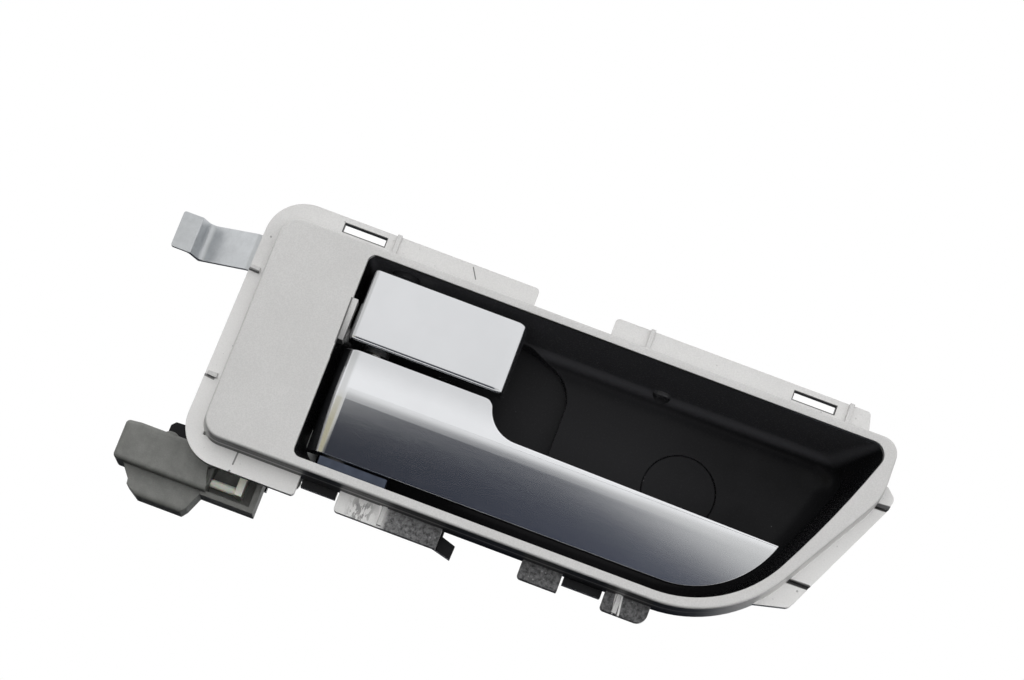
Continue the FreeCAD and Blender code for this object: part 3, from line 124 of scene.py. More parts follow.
class HANDLE_PG_stage(bpy.types.PropertyGroup):
    """Floor, light and camera."""
    floor_z: FloatProperty(name="Floor", description="Height of the floor", unit="LENGTH", default=-0.32)
    floor: colour("Floor colour", "Colour of the pale floor", (0.82, 0.82, 0.82))
    shade: colour("Shade", "Dark part of the cards that the levers mirror", (0.016, 0.019, 0.029))
    lamps: FloatProperty(name="Lamps", description="Strength of the lamps", min=0.0, default=1.0)
    distance: length("Distance", "Distance from the camera to the bezel", 0.75)
    pitch: angle("Pitch", "How far the camera stands below the front", 12.0)
    yaw: angle("Yaw", "How far the camera stands left of the front", 1.0)
    roll: angle("Roll", "How far the picture is turned", 20.25)
    lens: FloatProperty(name="Lens", description="Focal length", subtype="DISTANCE_CAMERA", default=94.92)


# nodes of materials

def group_tree(name, inputs, outputs):
    """Start a shader node group with named sockets: the tree, what it is given and what it puts out."""
    tree = bpy.data.node_groups.new(name, "ShaderNodeTree")
    for kind, label, default in inputs:
        socket = tree.interface.new_socket(label, in_out="INPUT", socket_type="NodeSocket" + kind)
        if default is not None:
            socket.default_value = default
    for kind, label in outputs:
        tree.interface.new_socket(label, in_out="OUTPUT", socket_type="NodeSocket" + kind)
    return tree, tree.nodes.new("NodeGroupInput").outputs, tree.nodes.new("NodeGroupOutput").inputs


def feed(tree, node, **sockets):
    """Set or link a node's inputs, each named by its label or by i and its number."""
    for key, value in sockets.items():
        numbered = key[0] == "i" and key[1:].isdigit()
        target = node.inputs[int(key[1:]) if numbered else key.replace("_", " ")]
        if isinstance(value, bpy.types.NodeSocket):
            tree.links.new(value, target)
        else:
            target.default_value = value


def put(tree, kind, settings=None, **sockets):
    """Add a node with its settings and inputs."""
    made = tree.nodes.new("ShaderNode" + kind)
    for key, value in (settings or {}).items():
        setattr(made, key, value)
    feed(tree, made, **sockets)
    return made.outputs


def maths(tree, operation, first, second=0.5, third=0.5):
    """A maths node's result."""
    return put(tree, "Math", {"operation": operation}, i0=first, i1=second, i2=third)[0]


def product(tree, first, *others):
    """Masks multiplied with each other."""
    for other in others:
        first = maths(tree, "MULTIPLY", first, other)
    return first


def ramp(tree, value, low, high, to_low=0.0, to_high=1.0):
    """A value smoothly mapped from one range to another."""
    return put(tree, "MapRange", {"interpolation_type": "SMOOTHSTEP"}, Value=value, From_Min=low, From_Max=high,
               To_Min=to_low, To_Max=to_high)[0]


def blend(tree, factor, first, second, kind="MIX"):
    """Two colours mixed."""
    return put(tree, "Mix", {"data_type": "RGBA", "blend_type": kind}, i0=factor, i6=first, i7=second)[2]


def parts(tree, vector):
    """The three parts of a vector."""
    return put(tree, "SeparateXYZ", Vector=vector)


def grain_group():
    """Fine grain of a cast, lacquered or moulded surface."""
    tree, given, result = group_tree("fine_grain", [("Vector", "Vector", None), ("Float", "Size", 0.0004)],
                                     [("Float", "Height"), ("Float", "Mask")])
    scale = maths(tree, "DIVIDE", 1.0, given["Size"])
    noise = put(tree, "TexNoise", Vector=given["Vector"], Scale=scale, Detail=3.0, Roughness=0.6)[0]
    tree.links.new(noise, result["Height"])
    tree.links.new(ramp(tree, noise, 0.3, 0.7), result["Mask"])
    return tree


def mottle_group():
    """Slow drift of tone over a surface."""
    tree, given, result = group_tree("mottle", [("Vector", "Vector", None), ("Float", "Size", 0.01),
                                                ("Color", "Dark", (0.5, 0.5, 0.5, 1)),
                                                ("Color", "Light", (0.6, 0.6, 0.6, 1))],
                                     [("Color", "Color"), ("Float", "Mask")])
    scale = maths(tree, "DIVIDE", 1.0, given["Size"])
    noise = put(tree, "TexNoise", Vector=given["Vector"], Scale=scale, Detail=4.0, Roughness=0.65)[0]
    mask = ramp(tree, noise, 0.25, 0.75)
    tree.links.new(blend(tree, mask, given["Dark"], given["Light"]), result["Color"])
    tree.links.new(mask, result["Mask"])
    return tree


def speck_group():
    """Small scattered specks and pits."""
    tree, given, result = group_tree("specks", [("Vector", "Vector", None), ("Float", "Spacing", 0.002),
                                                ("Float", "Reach", 0.2)], [("Float", "Mask")])
    scale = maths(tree, "DIVIDE", 1.0, given["Spacing"])
    spots = put(tree, "TexVoronoi", Vector=given["Vector"], Scale=scale)
    chance = put(tree, "SeparateColor", Color=spots[1])[0]
    radius = maths(tree, "MULTIPLY", given["Reach"], chance)
    tree.links.new(maths(tree, "LESS_THAN", spots[0], radius), result["Mask"])
    return tree


def brush_group():
    """Fine lines of a brushed or drawn metal, along one axis."""
    tree, given, result = group_tree("brushed", [("Vector", "Vector", None), ("Float", "Size", 0.0003),
                                                 ("Vector", "Stretch", (0.04, 1.0, 1.0))],
                                     [("Float", "Height"), ("Float", "Mask")])
    scale = maths(tree, "DIVIDE", 1.0, given["Size"])
    drawn = put(tree, "VectorMath", {"operation": "MULTIPLY"}, i0=given["Vector"], i1=given["Stretch"])[0]
    noise = put(tree, "TexNoise", Vector=drawn, Scale=scale, Detail=3.0, Roughness=0.6)[0]
    tree.links.new(noise, result["Height"])
    tree.links.new(ramp(tree, noise, 0.3, 0.7), result["Mask"])
    return tree


def region_group():
    """One inside a box seen from the front, falling to nought over a soft border."""
    tree, given, result = group_tree("region", [("Vector", "Vector", None), ("Float", "Left", -1.0),
                                                ("Float", "Right", 1.0), ("Float", "Bottom", -1.0),
                                                ("Float", "Top", 1.0), ("Float", "Border", 0.001)],
                                     [("Float", "Mask")])
    place = parts(tree, given["Vector"])
    inside = []
    for axis, low, high in ((0, given["Left"], given["Right"]), (2, given["Bottom"], given["Top"])):
        inside.append(ramp(tree, place[axis], low, maths(tree, "ADD", low, given["Border"])))
        inside.append(ramp(tree, place[axis], maths(tree, "SUBTRACT", high, given["Border"]), high, 1.0, 0.0))
    tree.links.new(product(tree, *inside), result["Mask"])
    return tree


def stroke_group():
    """One on a straight line between two places, seen from the front, falling to nought over its width."""
    tree, given, result = group_tree("stroke", [("Vector", "Vector", None), ("Vector", "Start", (0, 0, 0)),
                                                ("Vector", "End", (0.001, 0, 0)), ("Float", "Width", 0.001)],
                                     [("Float", "Mask")])

    def flat(operation, first, second=(1.0, 0.0, 1.0)):
        return put(tree, "VectorMath", {"operation": operation}, i0=first, i1=second)

    start = flat("MULTIPLY", given["Start"])[0]
    away = flat("SUBTRACT", flat("MULTIPLY", given["Vector"])[0], start)[0]
    run = flat("SUBTRACT", flat("MULTIPLY", given["End"])[0], start)[0]
    share_along = put(tree, "Math", {"operation": "DIVIDE", "use_clamp": True},
                      i0=flat("DOT_PRODUCT", away, run)["Value"], i1=flat("DOT_PRODUCT", run, run)["Value"])[0]
    nearest = put(tree, "VectorMath", {"operation": "SCALE"}, i0=run, Scale=share_along)[0]
    off = flat("DISTANCE", away, nearest)["Value"]
    half = maths(tree, "MULTIPLY", given["Width"], 0.5)
    tree.links.new(ramp(tree, off, maths(tree, "MULTIPLY", half, 0.6), half, 1.0, 0.0), result["Mask"])
    return tree


GROUPS = {"fine_grain": grain_group, "mottle": mottle_group, "specks": speck_group, "brushed": brush_group,
          "region": region_group, "stroke": stroke_group}


def effect(tree, name, vector, **values):
    """Place a shared effect in a material with its own values."""
    made = tree.nodes.new("ShaderNodeGroup")
    made.node_tree = bpy.data.node_groups.get(name) or GROUPS[name]()
    feed(tree, made, Vector=vector, **values)
    return made.outputs


def material(name, **constants):
    """Start a material: its tree, its shader and the place on the piece."""
    made = bpy.data.materials.new(name)
    made.use_nodes = True
    tree = made.node_tree
    shader = tree.nodes["Principled BSDF"]
    feed(tree, shader, **constants)
    return made, tree, shader, put(tree, "TexCoord")["Object"]


def solid(rgb, factor=1.0):
    """A colour with alpha, lighter or darker by a factor."""
    return tuple(min(1.0, part * factor) for part in rgb) + (1.0,)


def drift(tree, place, rgb, size, low, high):
    """A colour that drifts between two factors of itself."""
    return effect(tree, "mottle", place, Size=size, Dark=solid(rgb, low), Light=solid(rgb, high))


def uneven(tree, mask, middle, below, above):
    """A roughness that a mask varies round its middle value."""
    return ramp(tree, mask, 0.0, 1.0, middle - below, middle + above)


def marked(tree, tone, mask, tint, strength=1.0):
    """A colour with a mark laid over it."""
    return blend(tree, maths(tree, "MULTIPLY", mask, strength), tone, tint)


def bump(tree, shader, height, depth):
    """Raise the surface by a height from 0 to 1 times a depth in metres."""
    tree.links.new(put(tree, "Bump", Height=height, Distance=depth, Strength=1.0)[0], shader.inputs["Normal"])


# materials

# Bluish tint of the painted shade on the plate's lower side towards the toe.
TOE_SHADE_BLUE = (0.30, 0.33, 0.38, 1.0)
BRIGHT_SPECK = (0.42, 0.42, 0.43, 1.0)
DUST = (0.2, 0.2, 0.2, 1.0)
SMOKE_DARK = (0.012, 0.012, 0.013, 1.0)
SMOKE_LIGHT = (0.03, 0.03, 0.032, 1.0)
# Start and end of each soft step, in metres along the axis named beside it.
FLANGE_FRONT = (-0.0296, -0.0288)  # y, from the plate's side to the flange's front face
PLATE_EDGE = (-0.0362, -0.0355)    # y, from the plate's front round to its side
LIP_START = (-0.0322, -0.0318)     # y, the painted highlight on the lip along the plate's lower side
LIP_END = (-0.0312, -0.0308)
FLANGE_LOW = (0.032, -0.01)        # z, down the flange, where its painted light grows
TOE = (0.0, 0.032)                 # x, towards the toe of the plate, where the painted shade turns bluish
SHINE_END = (-0.076, -0.054)       # x, along the dark tabs, where their painted sheen fades
DIVIDER_FALL = (0.013, -0.002)     # z, down the divider, where its painted shade grows
BEHIND_LEVERS = (0.02, -0.02)      # x, along the cup; its painted light grows towards the hinge end
# The same for parts of the surface's own normal.
UNDERSIDE = (-0.75, -0.93)         # z, the plate's lower side, in painted shade
SLANT_RIGHT = (0.3, 0.6)           # x, the plate's slanted side, in painted light
SLANT_DOWN = (-0.3, -0.6)          # z
CUP_CEILING = (-0.6, -0.95)        # z, what faces down in the moulding, in painted light
# Areas of the casting seen from the front, each with its soft border inside.
# The tabs under the opening: unpainted metal, painted dark as the plate's shade and a dark reflection.
SHADED_BARE_TABS = {"Left": -0.0762, "Right": 0.014, "Bottom": -0.06, "Top": -0.0352, "Border": 0.002}
SCUFFED_TAB = {"Left": -0.0872, "Right": -0.0772, "Bottom": -0.06, "Top": -0.0352, "Border": 0.004}
ROUGH_TABS = {"Left": -0.0865, "Right": 0.014, "Bottom": -0.06, "Top": -0.0352, "Border": 0.001}
# The divider, in painted shade growing down it.
DIVIDER = {"Left": -0.1054, "Right": -0.099, "Bottom": -0.004, "Top": 0.0145, "Border": 0.0001}
# The trim slots' edges, in painted shade.
SLOT_EDGES = ({"Left": -0.1158, "Right": -0.1026, "Bottom": 0.0320, "Top": 0.0352, "Border": 0.0002},
              {"Left": 0.0197, "Right": 0.0329, "Bottom": 0.0320, "Top": 0.0352, "Border": 0.0002})
# Lines on the casting seen from the front: x and z of the start, x and z of the end, width, strength.
SCORES = ((-0.0773, 0.0358, -0.0755, 0.0328, 0.0004, 0.8), (-0.1198, -0.0365, -0.1200, -0.0408, 0.0006, 0.75),
          (-0.1202, -0.0429, -0.1203, -0.0433, 0.0008, 0.8), (0.0436, -0.0009, 0.0441, -0.0003, 0.0009, 0.7),
          (0.0453, 0.0020, 0.0456, 0.0023, 0.0007, 0.6), (0.0474, 0.0048, 0.0475, 0.0049, 0.0006, 0.5),
          (0.0402, -0.0075, 0.0404, -0.0076, 0.0006, 0.5))
# Painted shade in the gap beside the divider and at the ends of two nubs.
GAPS = ((-0.1055, 0.0135, -0.1053, 0.0, 0.0005, 0.9), (-0.1368, 0.0128, -0.1334, 0.0126, 0.0009, 0.75),
        (-0.1374, -0.0198, -0.1339, -0.0202, 0.0009, 0.75))
# Painted shade of the grooves across the slanted tab.
GROOVES = ((0.0455, 0.0116, 0.0556, 0.0124, 0.0019, 1.0), (0.0315, -0.0169, 0.0415, -0.0166, 0.0019, 1.0))
# Painted highlights on the rib crests.
CRESTS = ((-0.0780, -0.0350, -0.0765, -0.0412, 0.0009, 0.9), (-0.0080, -0.0362, -0.0072, -0.043, 0.0007, 0.9),
          (-0.0063, -0.0362, -0.0055, -0.043, 0.0007, 0.9))


def lacquer(tree, place, height, on_flange, grain, paint):
    """Grey lacquer with its grain, painted lighter on the flange where the plate's shade falls and most so low down,
    with scuffs on one tab.
    """
    tone = drift(tree, place, paint, 20 * MM, 1.01, 1.08)["Color"]
    tone = marked(tree, tone, grain, solid(paint, 0.75), 0.3)
    # Painted light: the flange, in the plate's shade, made lighter and most so low down.
    lighter = product(tree, on_flange, ramp(tree, height, *FLANGE_LOW, 0.35, 1.0))
    tone = blend(tree, lighter, tone, solid(paint, 1.32))
    tone = marked(tree, tone, grain, solid(paint, 0.8), 0.12)
    scuffed = effect(tree, "region", place, **SCUFFED_TAB)["Mask"]
    drawn = effect(tree, "brushed", place, Size=0.7 * MM, Stretch=(1.0, 1.0, 0.3))["Mask"]
    scuffs = product(tree, scuffed, on_flange, ramp(tree, drawn, 0.42, 0.62))
    return marked(tree, tone, scuffs, solid(paint, 0.3), 0.75)


def shaded_bare_metal(tree, place, along, casting):
    """Rough casting with bright specks, painted dark as the plate's shade and a dark reflection, and a painted sheen
    lighter towards the hinge end.
    """
    tone = drift(tree, place, casting, 1.1 * MM, 0.4, 2.3)["Color"]
    shine = ramp(tree, along, *SHINE_END, 1.5, 0.95)
    tone = put(tree, "VectorMath", {"operation": "SCALE"}, i0=tone, Scale=shine)[0]
    bright = effect(tree, "specks", place, Spacing=1.4 * MM, Reach=0.2)["Mask"]
    return marked(tree, tone, bright, BRIGHT_SPECK, 0.5)


def shaded_sides(tree, tone, spot, facing, settings):
    """The plate's lower side in painted shade with a painted highlight on its lip, bluish towards the toe; its
    slanted side in painted light.
    """
    under = product(tree, ramp(tree, facing[2], *UNDERSIDE), ramp(tree, spot[1], *PLATE_EDGE))
    lip = product(tree, ramp(tree, spot[1], *LIP_START), ramp(tree, spot[1], *LIP_END, 1.0, 0.0))
    shade = blend(tree, ramp(tree, spot[0], *TOE), solid(settings.bare_and_shade, 0.35), TOE_SHADE_BLUE)
    tone = marked(tree, tone, under, blend(tree, lip, shade, solid(settings.paint, 0.6)), 0.97)
    slanted = product(tree, ramp(tree, facing[0], *SLANT_RIGHT), ramp(tree, facing[2], *SLANT_DOWN))
    return marked(tree, tone, slanted, solid(settings.paint, 1.7))


def casting_marks_and_shade(tree, tone, place, height, on_flange, settings):
    """Painted shade in the slot edges, gaps and grooves and down the divider, painted highlights on the rib crests,
    and dark scores and patchy specks.
    """
    dark = solid(settings.bare_and_shade, 0.5)
    for edge in SLOT_EDGES:
        cut = effect(tree, "region", place, **edge)["Mask"]
        tone = marked(tree, tone, product(tree, cut, on_flange), dark)
    for lines, tint, limits in ((SCORES, dark, [on_flange]), (GAPS, dark, []),
                                (GROOVES, solid(settings.bare_and_shade, 0.7), [on_flange]),
                                (CRESTS, solid(settings.paint, 1.6), [on_flange])):
        for start_x, start_z, end_x, end_z, width, strength in lines:
            line = effect(tree, "stroke", place, Start=(start_x, 0, start_z), End=(end_x, 0, end_z), Width=width)
            tone = marked(tree, tone, product(tree, line["Mask"], *limits), tint, strength)
    # Painted shade down the divider, darker low down.
    bar = effect(tree, "region", place, **DIVIDER)["Mask"]
    shaded = product(tree, bar, ramp(tree, height, *DIVIDER_FALL))
    tone = marked(tree, tone, shaded, solid(settings.paint, 0.3), 0.9)
    specks = effect(tree, "specks", place, Spacing=2.3 * MM, Reach=0.17)["Mask"]
    patchy = ramp(tree, effect(tree, "mottle", place, Size=9 * MM)["Mask"], 0.45, 0.75)
    return marked(tree, tone, product(tree, specks, patchy, on_flange), solid(settings.paint, 0.3), 0.6)


def bezel_paint(settings):
    """Satin grey lacquer on a casting, with unpainted metal on the tabs under the opening painted dark as shade and
    dark reflection, and painted shade and highlights on the plate's sides and marks.
    """
    made, tree, shader, place = material("bezel_paint", Coat_Weight=0.06, Coat_Roughness=0.3)
    spot = parts(tree, place)
    facing = parts(tree, put(tree, "TexCoord")["Normal"])
    on_flange = ramp(tree, spot[1], *FLANGE_FRONT)
    grain = effect(tree, "fine_grain", place, Size=settings.grain)
    painted = lacquer(tree, place, spot[2], on_flange, grain["Mask"], settings.paint)
    # Painted shade and dark reflection on the unpainted tabs under the opening.
    bare_and_shade = product(tree, effect(tree, "region", place, **SHADED_BARE_TABS)["Mask"], on_flange)
    tone = blend(tree, bare_and_shade, painted, shaded_bare_metal(tree, place, spot[0], settings.bare_and_shade))
    tone = shaded_sides(tree, tone, spot, facing, settings)
    tone = casting_marks_and_shade(tree, tone, place, spot[2], on_flange, settings)
    feed(tree, shader, Base_Color=tone, Roughness=uneven(tree, grain["Mask"], settings.roughness, 0.05, 0.07),
         Metallic=maths(tree, "MULTIPLY_ADD", bare_and_shade, 0.45, 0.3))
    coarse = effect(tree, "fine_grain", place, Size=1.1 * MM)["Height"]
    rough = product(tree, coarse, effect(tree, "region", place, **ROUGH_TABS)["Mask"], on_flange)
    bump(tree, shader, maths(tree, "MULTIPLY_ADD", rough, 6.0, grain["Height"]), 0.02 * MM)
    return made


def satin_chrome(name, rgb, roughness, ridge, top):
    """Satin chrome with faint drawn lines, its face in painted shade, a little darker from the ridge to the top edge.
    """
    made, tree, shader, place = material(name, Metallic=1.0)
    drawn = effect(tree, "brushed", place, Size=0.25 * MM)
    tone = drift(tree, place, rgb, 20 * MM, 0.97, 1.02)["Color"]
    # Painted shade: the face darker above the ridge, standing in for a weaker reflection.
    dim = blend(tree, ramp(tree, parts(tree, place)[2], ridge, top), WHITE, solid(WHITE[:3], 0.8))
    feed(tree, shader, Base_Color=blend(tree, 1.0, tone, dim, "MULTIPLY"),
         Roughness=uneven(tree, drawn["Mask"], roughness, 0.006, 0.008))
    bump(tree, shader, drawn["Height"], 0.00004 * MM)
    return made


def gloss_black(settings):
    """Gloss black moulding with dust, with painted light behind the levers and on what faces down."""
    made, tree, shader, place = material("gloss_black", Specular_IOR_Level=0.06)
    grain = effect(tree, "fine_grain", place, Size=0.5 * MM)
    tone = drift(tree, place, settings.black, 20 * MM, 0.75, 1.2)["Color"]
    along = parts(tree, place)[0]
    upward = parts(tree, put(tree, "TexCoord")["Normal"])[2]
    # Painted light behind the levers and on the cup's downward faces.
    tone = blend(tree, ramp(tree, along, *BEHIND_LEVERS), tone, solid(settings.black, 1.6))
    tone = blend(tree, ramp(tree, upward, *CUP_CEILING), tone, solid(settings.black, 9.0))
    dust = effect(tree, "specks", place, Spacing=5 * MM, Reach=0.05)["Mask"]
    feed(tree, shader, Base_Color=marked(tree, tone, dust, DUST, 0.3),
         Roughness=uneven(tree, grain["Mask"], settings.roughness, 0.04, 0.06))
    bump(tree, shader, grain["Height"], 0.008 * MM)
    return made


def metal(name, rgb, roughness, size, stretch=(0.05, 1.0, 1.0)):
    """A bright or plated metal with drawn lines and stains."""
    made, tree, shader, place = material(name, Metallic=1.0)
    drawn = effect(tree, "brushed", place, Size=size, Stretch=stretch)
    tone = drift(tree, place, rgb, 4 * MM, 0.82, 1.08)
    feed(tree, shader, Base_Color=tone["Color"], Roughness=uneven(tree, tone["Mask"], roughness, 0.06, 0.08))
    bump(tree, shader, drawn["Height"], 0.006 * MM)
    return made


def plastic(name, rgb, roughness, grain_size, depth, subsurface=0.0, level=0.5):
    """A moulded plastic or rubber with its grain and uneven tone."""
    made, tree, shader, place = material(name, Subsurface_Weight=subsurface, Subsurface_Scale=1.5 * MM,
                                         Specular_IOR_Level=level)
    grain = effect(tree, "fine_grain", place, Size=grain_size)
    tone = drift(tree, place, rgb, 4 * MM, 0.8, 1.16)["Color"]
    feed(tree, shader, Base_Color=marked(tree, tone, grain["Mask"], solid(rgb, 0.6), 0.25),
         Roughness=uneven(tree, grain["Mask"], roughness, 0.05, 0.08))
    bump(tree, shader, grain["Height"], depth)
    return made


def clear_lens():
    """Clear light guide, faintly smoky."""
    made, tree, shader, place = material("clear_lens", Transmission_Weight=0.9, IOR=1.49)
    grain = effect(tree, "fine_grain", place, Size=0.6 * MM)
    smoke = effect(tree, "mottle", place, Size=3 * MM, Dark=SMOKE_DARK, Light=SMOKE_LIGHT)
    feed(tree, shader, Base_Color=smoke["Color"], Roughness=ramp(tree, grain["Mask"], 0.0, 1.0, 0.08, 0.2))
    bump(tree, shader, grain["Height"], 0.01 * MM)
    return made


# pieces

SHARP = math.radians(38)   # an edge that turns more than this is rounded
FLAT = math.radians(0.02)  # faces that turn less than this become one
WELD = 0.002 * MM          # points nearer than this become one
ON_SURFACE = 0.02 * MM     # how far a point of a copy lies from the CAD surface
BY_SURFACE = 0.3 * MM      # how far it lies from it beside a rounded edge
STRAP_ROUND = 0.15 * MM
# Boxes in millimetres (low x, y, z, high x, y, z) with no room for a round; FAR leaves a side open.
FAR = 500.0
BEZEL_TIGHT = ((54.5, -FAR, 10.5, 57, FAR, 13.5), (51.5, -FAR, 11, 53, FAR, 13), (-137, -FAR, 9, -135, FAR, 28),
               (-105.6, -34.6, 12.5, -104.8, -34, 26.5))
HOUSING_TIGHT = ((-FAR, -FAR, -FAR, -106, FAR, FAR), (-97, -7, -25, -93, -5, -23))
LEVER_TIGHT = ((-FAR, -25, -FAR, FAR, FAR, FAR),)
BRACKET_TIGHT = ((-144.5, -15.5, -57.5, -143, -14, -56), (-116, -17, -39, -111, -15, -38),
                 (-131, -20, -38.2, -129.5, -19, -37), (-126, -17, -48, -125, -15, -38))
# Each lever with the factor of its chrome and the heights between which its face gets darker: a lighter and a darker
# copy of one chrome standing in for how brightly each face reflects, and a band of painted shade.
LEVER_SHADING = (("pull_lever", 1.04, -0.008, 0.0), ("lock_lever", 0.87, 0.03, 0.04))


def wear(piece, finish):
    """Give a piece its only material."""
    piece.data.materials.clear()
    piece.data.materials.append(finish)


def surface_normal(tree, cad, point, facing):
    """The CAD surface's own normal at a point, taken from the triangle there that faces the same way."""
    hits = tree.find_nearest_range(point, ON_SURFACE) or tree.find_nearest_range(point, BY_SURFACE)
    if not hits:
        return facing
    place, flat, index, _ = max(hits, key=lambda hit: hit[1].dot(facing))
    face = cad.polygons[index]
    corners = [cad.vertices[vertex].co for vertex in face.vertices]
    bent = [cad.corner_normals[loop].vector for loop in face.loop_indices]
    normal = barycentric_transform(place, *corners, *bent)
    return normal.normalized() if normal.dot(flat) > 0.5 else flat


def corner_normals(shape, rounded, cad):
    """Normals for each corner of a copy: the CAD surface's own, also where a rounded edge meets it."""
    tree = BVHTree.FromPolygons([vertex.co for vertex in cad.vertices], [face.vertices for face in cad.polygons])
    shape.normal_update()
    own = {}
    beside = {}
    for face in shape.faces:
        if face not in rounded:
            for loop in face.loops:
                normal = surface_normal(tree, cad, loop.vert.co, face.normal)
                own[loop] = normal
                beside.setdefault(loop.vert, []).append(normal)
    normals = []
    for face in shape.faces:
        for loop in face.loops:
            if loop not in own:
                near = beside.get(loop.vert, [loop.vert.normal])
                own[loop] = max(near, key=lambda normal: normal.dot(face.normal))
            normals.append(own[loop])
    return normals


def is_tight(vertex, boxes):
    """Whether a point lies in one of the boxes."""
    place = vertex.co / MM
    return any(all(box[axis] <= place[axis] <= box[axis + 3] for axis in range(3)) for box in boxes)


def softened(node, edge, finish, body, tight=()):
    """A merged copy of a CAD node whose outer sharp edges are rounded, in the node's place."""
    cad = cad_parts[node].data
    shape = bmesh.new()
    shape.from_mesh(cad)
    bmesh.ops.remove_doubles(shape, verts=shape.verts, dist=WELD)
    bmesh.ops.dissolve_limit(shape, angle_limit=FLAT, verts=shape.verts, edges=shape.edges)
    sharp = [line for line in shape.edges if line.is_manifold and line.calc_face_angle_signed() > SHARP
             and not any(is_tight(vertex, tight) for vertex in line.verts)]
    made = bmesh.ops.bevel(shape, geom=sharp, offset=edge, offset_type="OFFSET", segments=2, profile=0.5,
                           affect="EDGES", clamp_overlap=False, material=-1)
    rounded = set(made["faces"])
    wide = [face for face in shape.faces if len(face.verts) > 4 and face not in rounded]
    bmesh.ops.triangulate(shape, faces=wide, quad_method="BEAUTY", ngon_method="EAR_CLIP")
    for face in shape.faces:
        face.smooth = True
    normals = corner_normals(shape, rounded, cad)
    mesh = bpy.data.meshes.new(node + "_dress")
    shape.to_mesh(mesh)
    shape.free()
    mesh.normals_split_custom_set(normals)
    piece = bpy.data.objects.new(node + "_dress", mesh)
    bpy.context.scene.collection.objects.link(piece)
    wear(piece, finish)
    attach(piece, body)
    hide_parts(node)


class HANDLE_OT_bezel(bpy.types.Operator):
    """Dress the cast bezel frame"""
    bl_idname = "handle.bezel"
    bl_label = "Bezel frame"

    def execute(self, context):
        settings = context.scene.handle_bezel
        softened("bezel_frame", settings.edge, bezel_paint(settings), "frame", BEZEL_TIGHT)
        return {"FINISHED"}


class HANDLE_OT_housing(bpy.types.Operator):
    """Dress the black moulding, its screw cap and its lens"""
    bl_idname = "handle.housing"
    bl_label = "Housing, cap and lens"

    def execute(self, context):
        settings = context.scene.handle_moulding
        black = gloss_black(settings)
        softened("handle_housing", settings.edge, black, "frame", HOUSING_TIGHT)
        softened("screw_cap", settings.edge, black, "frame")
        wear(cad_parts["light_lens"], clear_lens())
        return {"FINISHED"}


class HANDLE_OT_levers(bpy.types.Operator):
    """Dress the pull lever and the lock lever"""
    bl_idname = "handle.levers"
    bl_label = "Levers"

    def execute(self, context):
        settings = context.scene.handle_levers
        for node, factor, ridge, top in LEVER_SHADING:
            # A lighter or darker copy of one chrome, painted for how brightly each lever reflects.
            tone = solid(settings.chrome, factor)[:3]
            chrome = satin_chrome(node + "_chrome", tone, settings.roughness, ridge, top)
            softened(node, settings.edge, chrome, node, LEVER_TIGHT)
        return {"FINISHED"}


class HANDLE_OT_pivot(bpy.types.Operator):
    """Dress the pin, its bushes and bearing, the springs and the rubber stop"""
    bl_idname = "handle.pivot"
    bl_label = "Pin, bushes and springs"

    def execute(self, context):
        settings = context.scene.handle_hardware
        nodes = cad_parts
        wear(nodes["pivot_pin"], metal("pin_steel", settings.steel, 0.22, 0.2 * MM, (1.0, 1.0, 0.05)))
        nylon = plastic("bush_nylon", settings.nylon, 0.4, 0.4 * MM, 0.01 * MM, 0.2)
        for node in ("lever_bush_lower", "lever_bush_upper", "lock_bush_lower", "lock_bush_upper"):
            wear(nodes[node], nylon)
        bearing = plastic("bearing_plastic", settings.bearing, 0.45, 0.5 * MM, 0.01 * MM, level=0.1)
        wear(nodes["lower_bearing"], bearing)
        spring = metal("spring_steel", settings.steel, 0.3, 0.2 * MM)
        wear(nodes["lever_return_spring"], spring)
        wear(nodes["lock_detent_spring"], spring)
        wear(nodes["lock_bumper"], plastic("bumper_rubber", settings.rubber, 0.75, 0.3 * MM, 0.02 * MM))
        return {"FINISHED"}


class HANDLE_OT_cranks(bpy.types.Operator):
    """Dress the two cranks and the fasteners"""
    bl_idname = "handle.cranks"
    bl_label = "Cranks and fasteners"

    def execute(self, context):
        plated = metal("plated_steel", context.scene.handle_hardware.plated, 0.36, 0.3 * MM)
        for node in ("release_crank", "lock_crank", "strap_rivets", "housing_screws", "bracket_screws"):
            wear(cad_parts[node], plated)
        return {"FINISHED"}


class HANDLE_OT_strap(bpy.types.Operator):
    """Dress the retaining strap"""
    bl_idname = "handle.strap"
    bl_label = "Strap"

    def execute(self, context):
        zinc = metal("strap_zinc", context.scene.handle_hardware.strap, 0.42, 0.4 * MM)
        softened("retaining_strap", STRAP_ROUND, zinc, "frame")
        return {"FINISHED"}


class HANDLE_OT_bracket(bpy.types.Operator):
    """Dress the cable bracket and its retainer"""
    bl_idname = "handle.bracket"
    bl_label = "Cable bracket"

    def execute(self, context):
        settings = context.scene.handle_bracket
        grey = plastic("bracket_grey", settings.grey, settings.roughness, 0.4 * MM, 0.04 * MM)
        softened("cable_bracket", settings.edge, grey, "frame", BRACKET_TIGHT)
        cream = plastic("retainer_nylon", settings.cream, 0.42, 0.5 * MM, 0.01 * MM, 0.3)
        softened("cable_retainer", settings.edge, cream, "frame")
        return {"FINISHED"}


# stage

# Centre and two half sides of the flat cards of the stage.
FLOOR_SIDES = ((3, 0, 0), (0, 3, 0))
FRONT_CARD = ((0, -1.25, 0.2), (2.2, 0, 0), (0, 0, 1.2))
DARK_FLAG = ((0, 1.9, -0.3), (2.2, 0, 0), (0, 2.1, 0))
# The dark part's border on the front card: slope and height of its right and its left arm, and its bend.
RIGHT_ARM = (-2.16, 0.036)
LEFT_ARM = (1.2, 0.172)
BEND = 0.1
